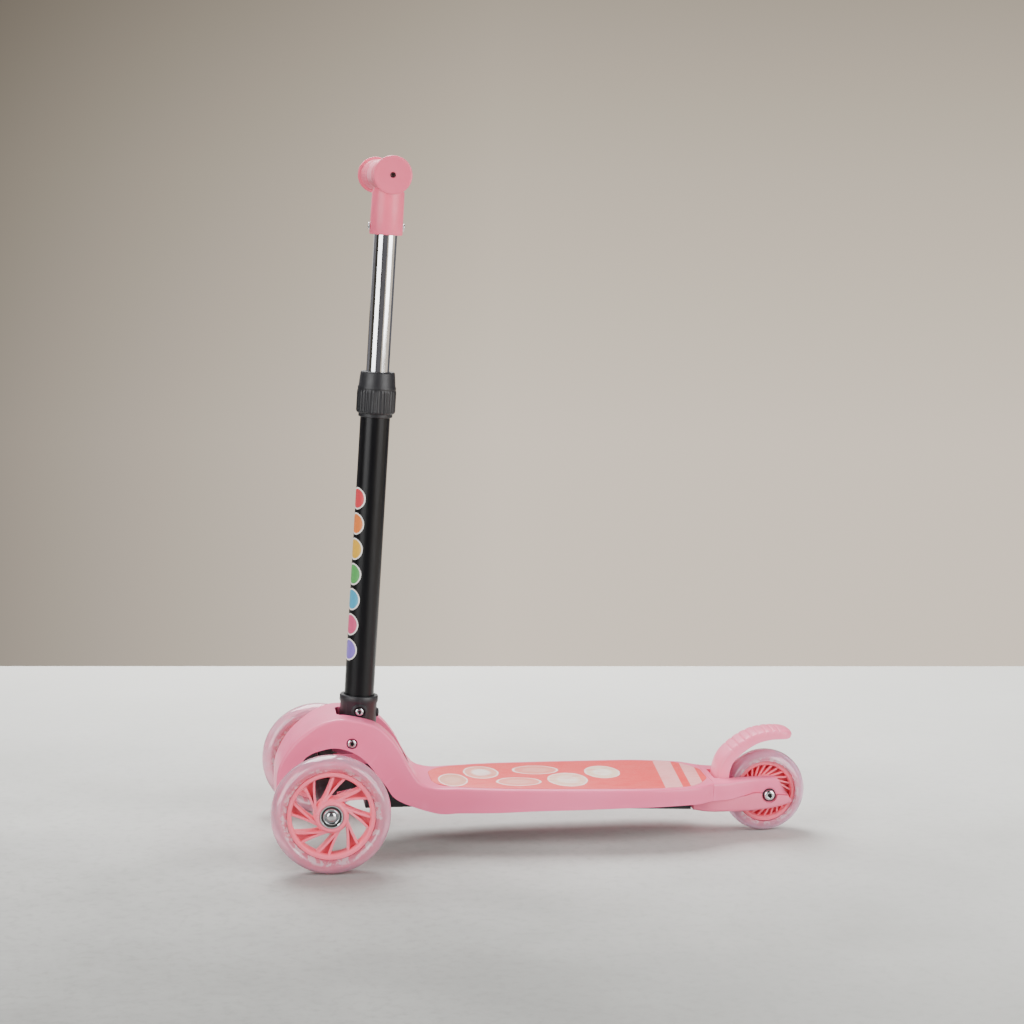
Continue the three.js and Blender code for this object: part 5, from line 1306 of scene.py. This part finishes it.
def dress_kept_nodes():
    for material, slot, names in KEPT:
        for name in names:
            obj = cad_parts[name]
            obj.data.materials.clear()
            obj.data.materials.append(material)
            bevelled(obj, EDGE_ROUNDING, EDGE_ANGLE)


# Camera at the photograph's angle
CAMERA_PLACE = (2.4309, -0.33665, 0.6318)
CAMERA_YAW = 0.1268
CAMERA_PITCH = 0.1287
CAMERA_ROLL = 0.0048
CAMERA_LENS = 91.59


def make_camera():
    yaw, pitch, roll = CAMERA_YAW, CAMERA_PITCH, CAMERA_ROLL
    forward = Vector((-cos(yaw) * cos(pitch), sin(yaw) * cos(pitch), -sin(pitch)))
    level = Vector((sin(yaw), cos(yaw), 0))
    upright = level.cross(forward)
    right = cos(roll) * level + sin(roll) * upright
    up = -sin(roll) * level + cos(roll) * upright
    camera = linked("camera", bpy.data.cameras.new("camera"))
    camera.data.lens = CAMERA_LENS
    camera.data.sensor_width = 36
    turned = Matrix((right, up, -forward)).transposed().to_4x4()
    camera.matrix_world = at(*CAMERA_PLACE) @ turned
    bpy.context.scene.camera = camera


# Studio, in metres. Lights and cards: name, place, target and size, and then a light's power
FLOOR_HALF = 1.0
FLOOR_STEPS = 8
FLOOR_YAW = CAMERA_YAW - 0.025  # levels the far edge in the picture
FLOOR_FAR = 3.323  # from under the camera to the floor's far edge
LIGHTS = [
    ("overhead", (-1.1, -0.35, 2.1), (-0.05, 0, 0.1), (1.5, 1.7), 104),
    ("softbox_front", (1.75, -2.4, 1.35), (0, 0, 0.35), (2.2, 2.6), 106),
    ("softbox_rear", (2.0, 2.25, 1.35), (0, 0, 0.35), (2.3, 2.6), 128),
    ("fill_far", (-2.4, -0.6, 1.2), (0, 0, 0.3), (1.6, 1.6), 8),
]
CARDS = [
    ("card_camera", (3.6, -0.5, 0.7), (0, 0, 0.6), (3.3, 2.6)),
    ("card_front", (-1.5, -2.1, 0.8), (0, 0, 0.6), (2.2, 2.4)),
    ("card_rear", (-1.4, 2.2, 0.8), (0, 0, 0.6), (2.2, 2.4)),
]
# Backdrop tones by the sine of the elevation
BACKDROP = [(-0.25, (1.04, 0.9, 0.74)), (-0.1, (1.02, 0.88, 0.72)), (0.0, (0.74, 0.64, 0.51)),
            (0.08, (0.45, 0.385, 0.305)), (0.3, (0.2, 0.185, 0.165))]
# Painted shade: the backdrop grows darker towards the left of the picture
BACKDROP_LEFT_SHADE = (-0.16, 0.12, 0.1)  # limits of the direction's Y, and the share that is left at the lower one


def make_floor():
    away = Vector((-cos(FLOOR_YAW), sin(FLOOR_YAW), 0))
    side = Vector((-away.y, away.x, 0))
    under = Vector((CAMERA_PLACE[0], CAMERA_PLACE[1], 0))
    middle = under + away * (FLOOR_FAR - FLOOR_HALF)
    bm = bmesh.new()
    places = [FLOOR_HALF * (2 * i / FLOOR_STEPS - 1) for i in range(FLOOR_STEPS + 1)]
    grid = [[bm.verts.new(middle + away * a + side * b) for b in places] for a in places]
    for near, far in zip(grid, grid[1:]):
        for j in range(FLOOR_STEPS):
            bm.faces.new((near[j], far[j], far[j + 1], near[j + 1]))
    bmesh.ops.recalc_face_normals(bm, faces=bm.faces[:])
    floor = as_object("floor", bm)
    floor.data.materials.append(floor_stone("floor_stone"))


def aimed(obj, place, target):
    aim = (Vector(target) - Vector(place)).to_track_quat("-Z", "Y")
    obj.matrix_world = at(*place) @ aim.to_matrix().to_4x4()
    obj.visible_camera = False


def make_lights():
    for name, place, target, size, power in LIGHTS:
        light = linked(name, bpy.data.lights.new(name, "AREA"))
        light.data.shape = "RECTANGLE"
        light.data.size, light.data.size_y = size
        light.data.energy = power
        aimed(light, place, target)


def make_cards():
    """Dark cards that the camera doesn't see: they give the chrome its dark bands."""
    felt = moulded("grey_felt", "66666c", "5e5e64", 0.9)
    for name, place, target, (width, height) in CARDS:
        bm = bmesh.new()
        corners = [(x * width / 2, y * height / 2, 0) for x, y in ((-1, -1), (1, -1), (1, 1), (-1, 1))]
        bm.faces.new([bm.verts.new(corner) for corner in corners])
        card = as_object(name, bm)
        card.data.materials.append(felt)
        aimed(card, place, target)
        card.visible_shadow = False
        card.visible_diffuse = False


def make_world():
    world = bpy.data.worlds.new("studio")
    bpy.context.scene.world = world
    n = Nodes(world)
    n.tree.nodes.clear()
    _, y, z = n.split(n.add("ShaderNodeTexCoord").outputs["Generated"])
    ramp = n.add("ShaderNodeValToRGB")
    tone = n.fed(ramp, Fac=n.math("MULTIPLY_ADD", z, 0.5, 0.5))["Color"]
    # Painted shade on the backdrop, darker towards the left of the picture
    dim = n.add("ShaderNodeVectorMath", operation="SCALE")
    faded = n.fed(dim, Vector=tone, Scale=n.ranged(y, *BACKDROP_LEFT_SHADE, 1))
    back = n.fed(n.add("ShaderNodeBackground"), Color=faded["Vector"])["Background"]
    n.fed(n.add("ShaderNodeOutputWorld"), Surface=back)
    stops = ramp.color_ramp.elements
    while len(stops) < len(BACKDROP):
        stops.new(1.0)
    for stop, (height, backdrop) in zip(stops, BACKDROP):
        stop.position = 0.5 + height / 2
        stop.color = (*backdrop, 1)


make_camera()
make_shell()
make_panel()
make_cover()
make_fender()
make_wheels()
make_axle_caps()
make_cross_bolts()
make_socket()
make_stem_hardware()
make_tubes()
make_collar()
make_handle()
make_dots()
dress_kept_nodes()
make_floor()
make_lights()
make_cards()
make_world()
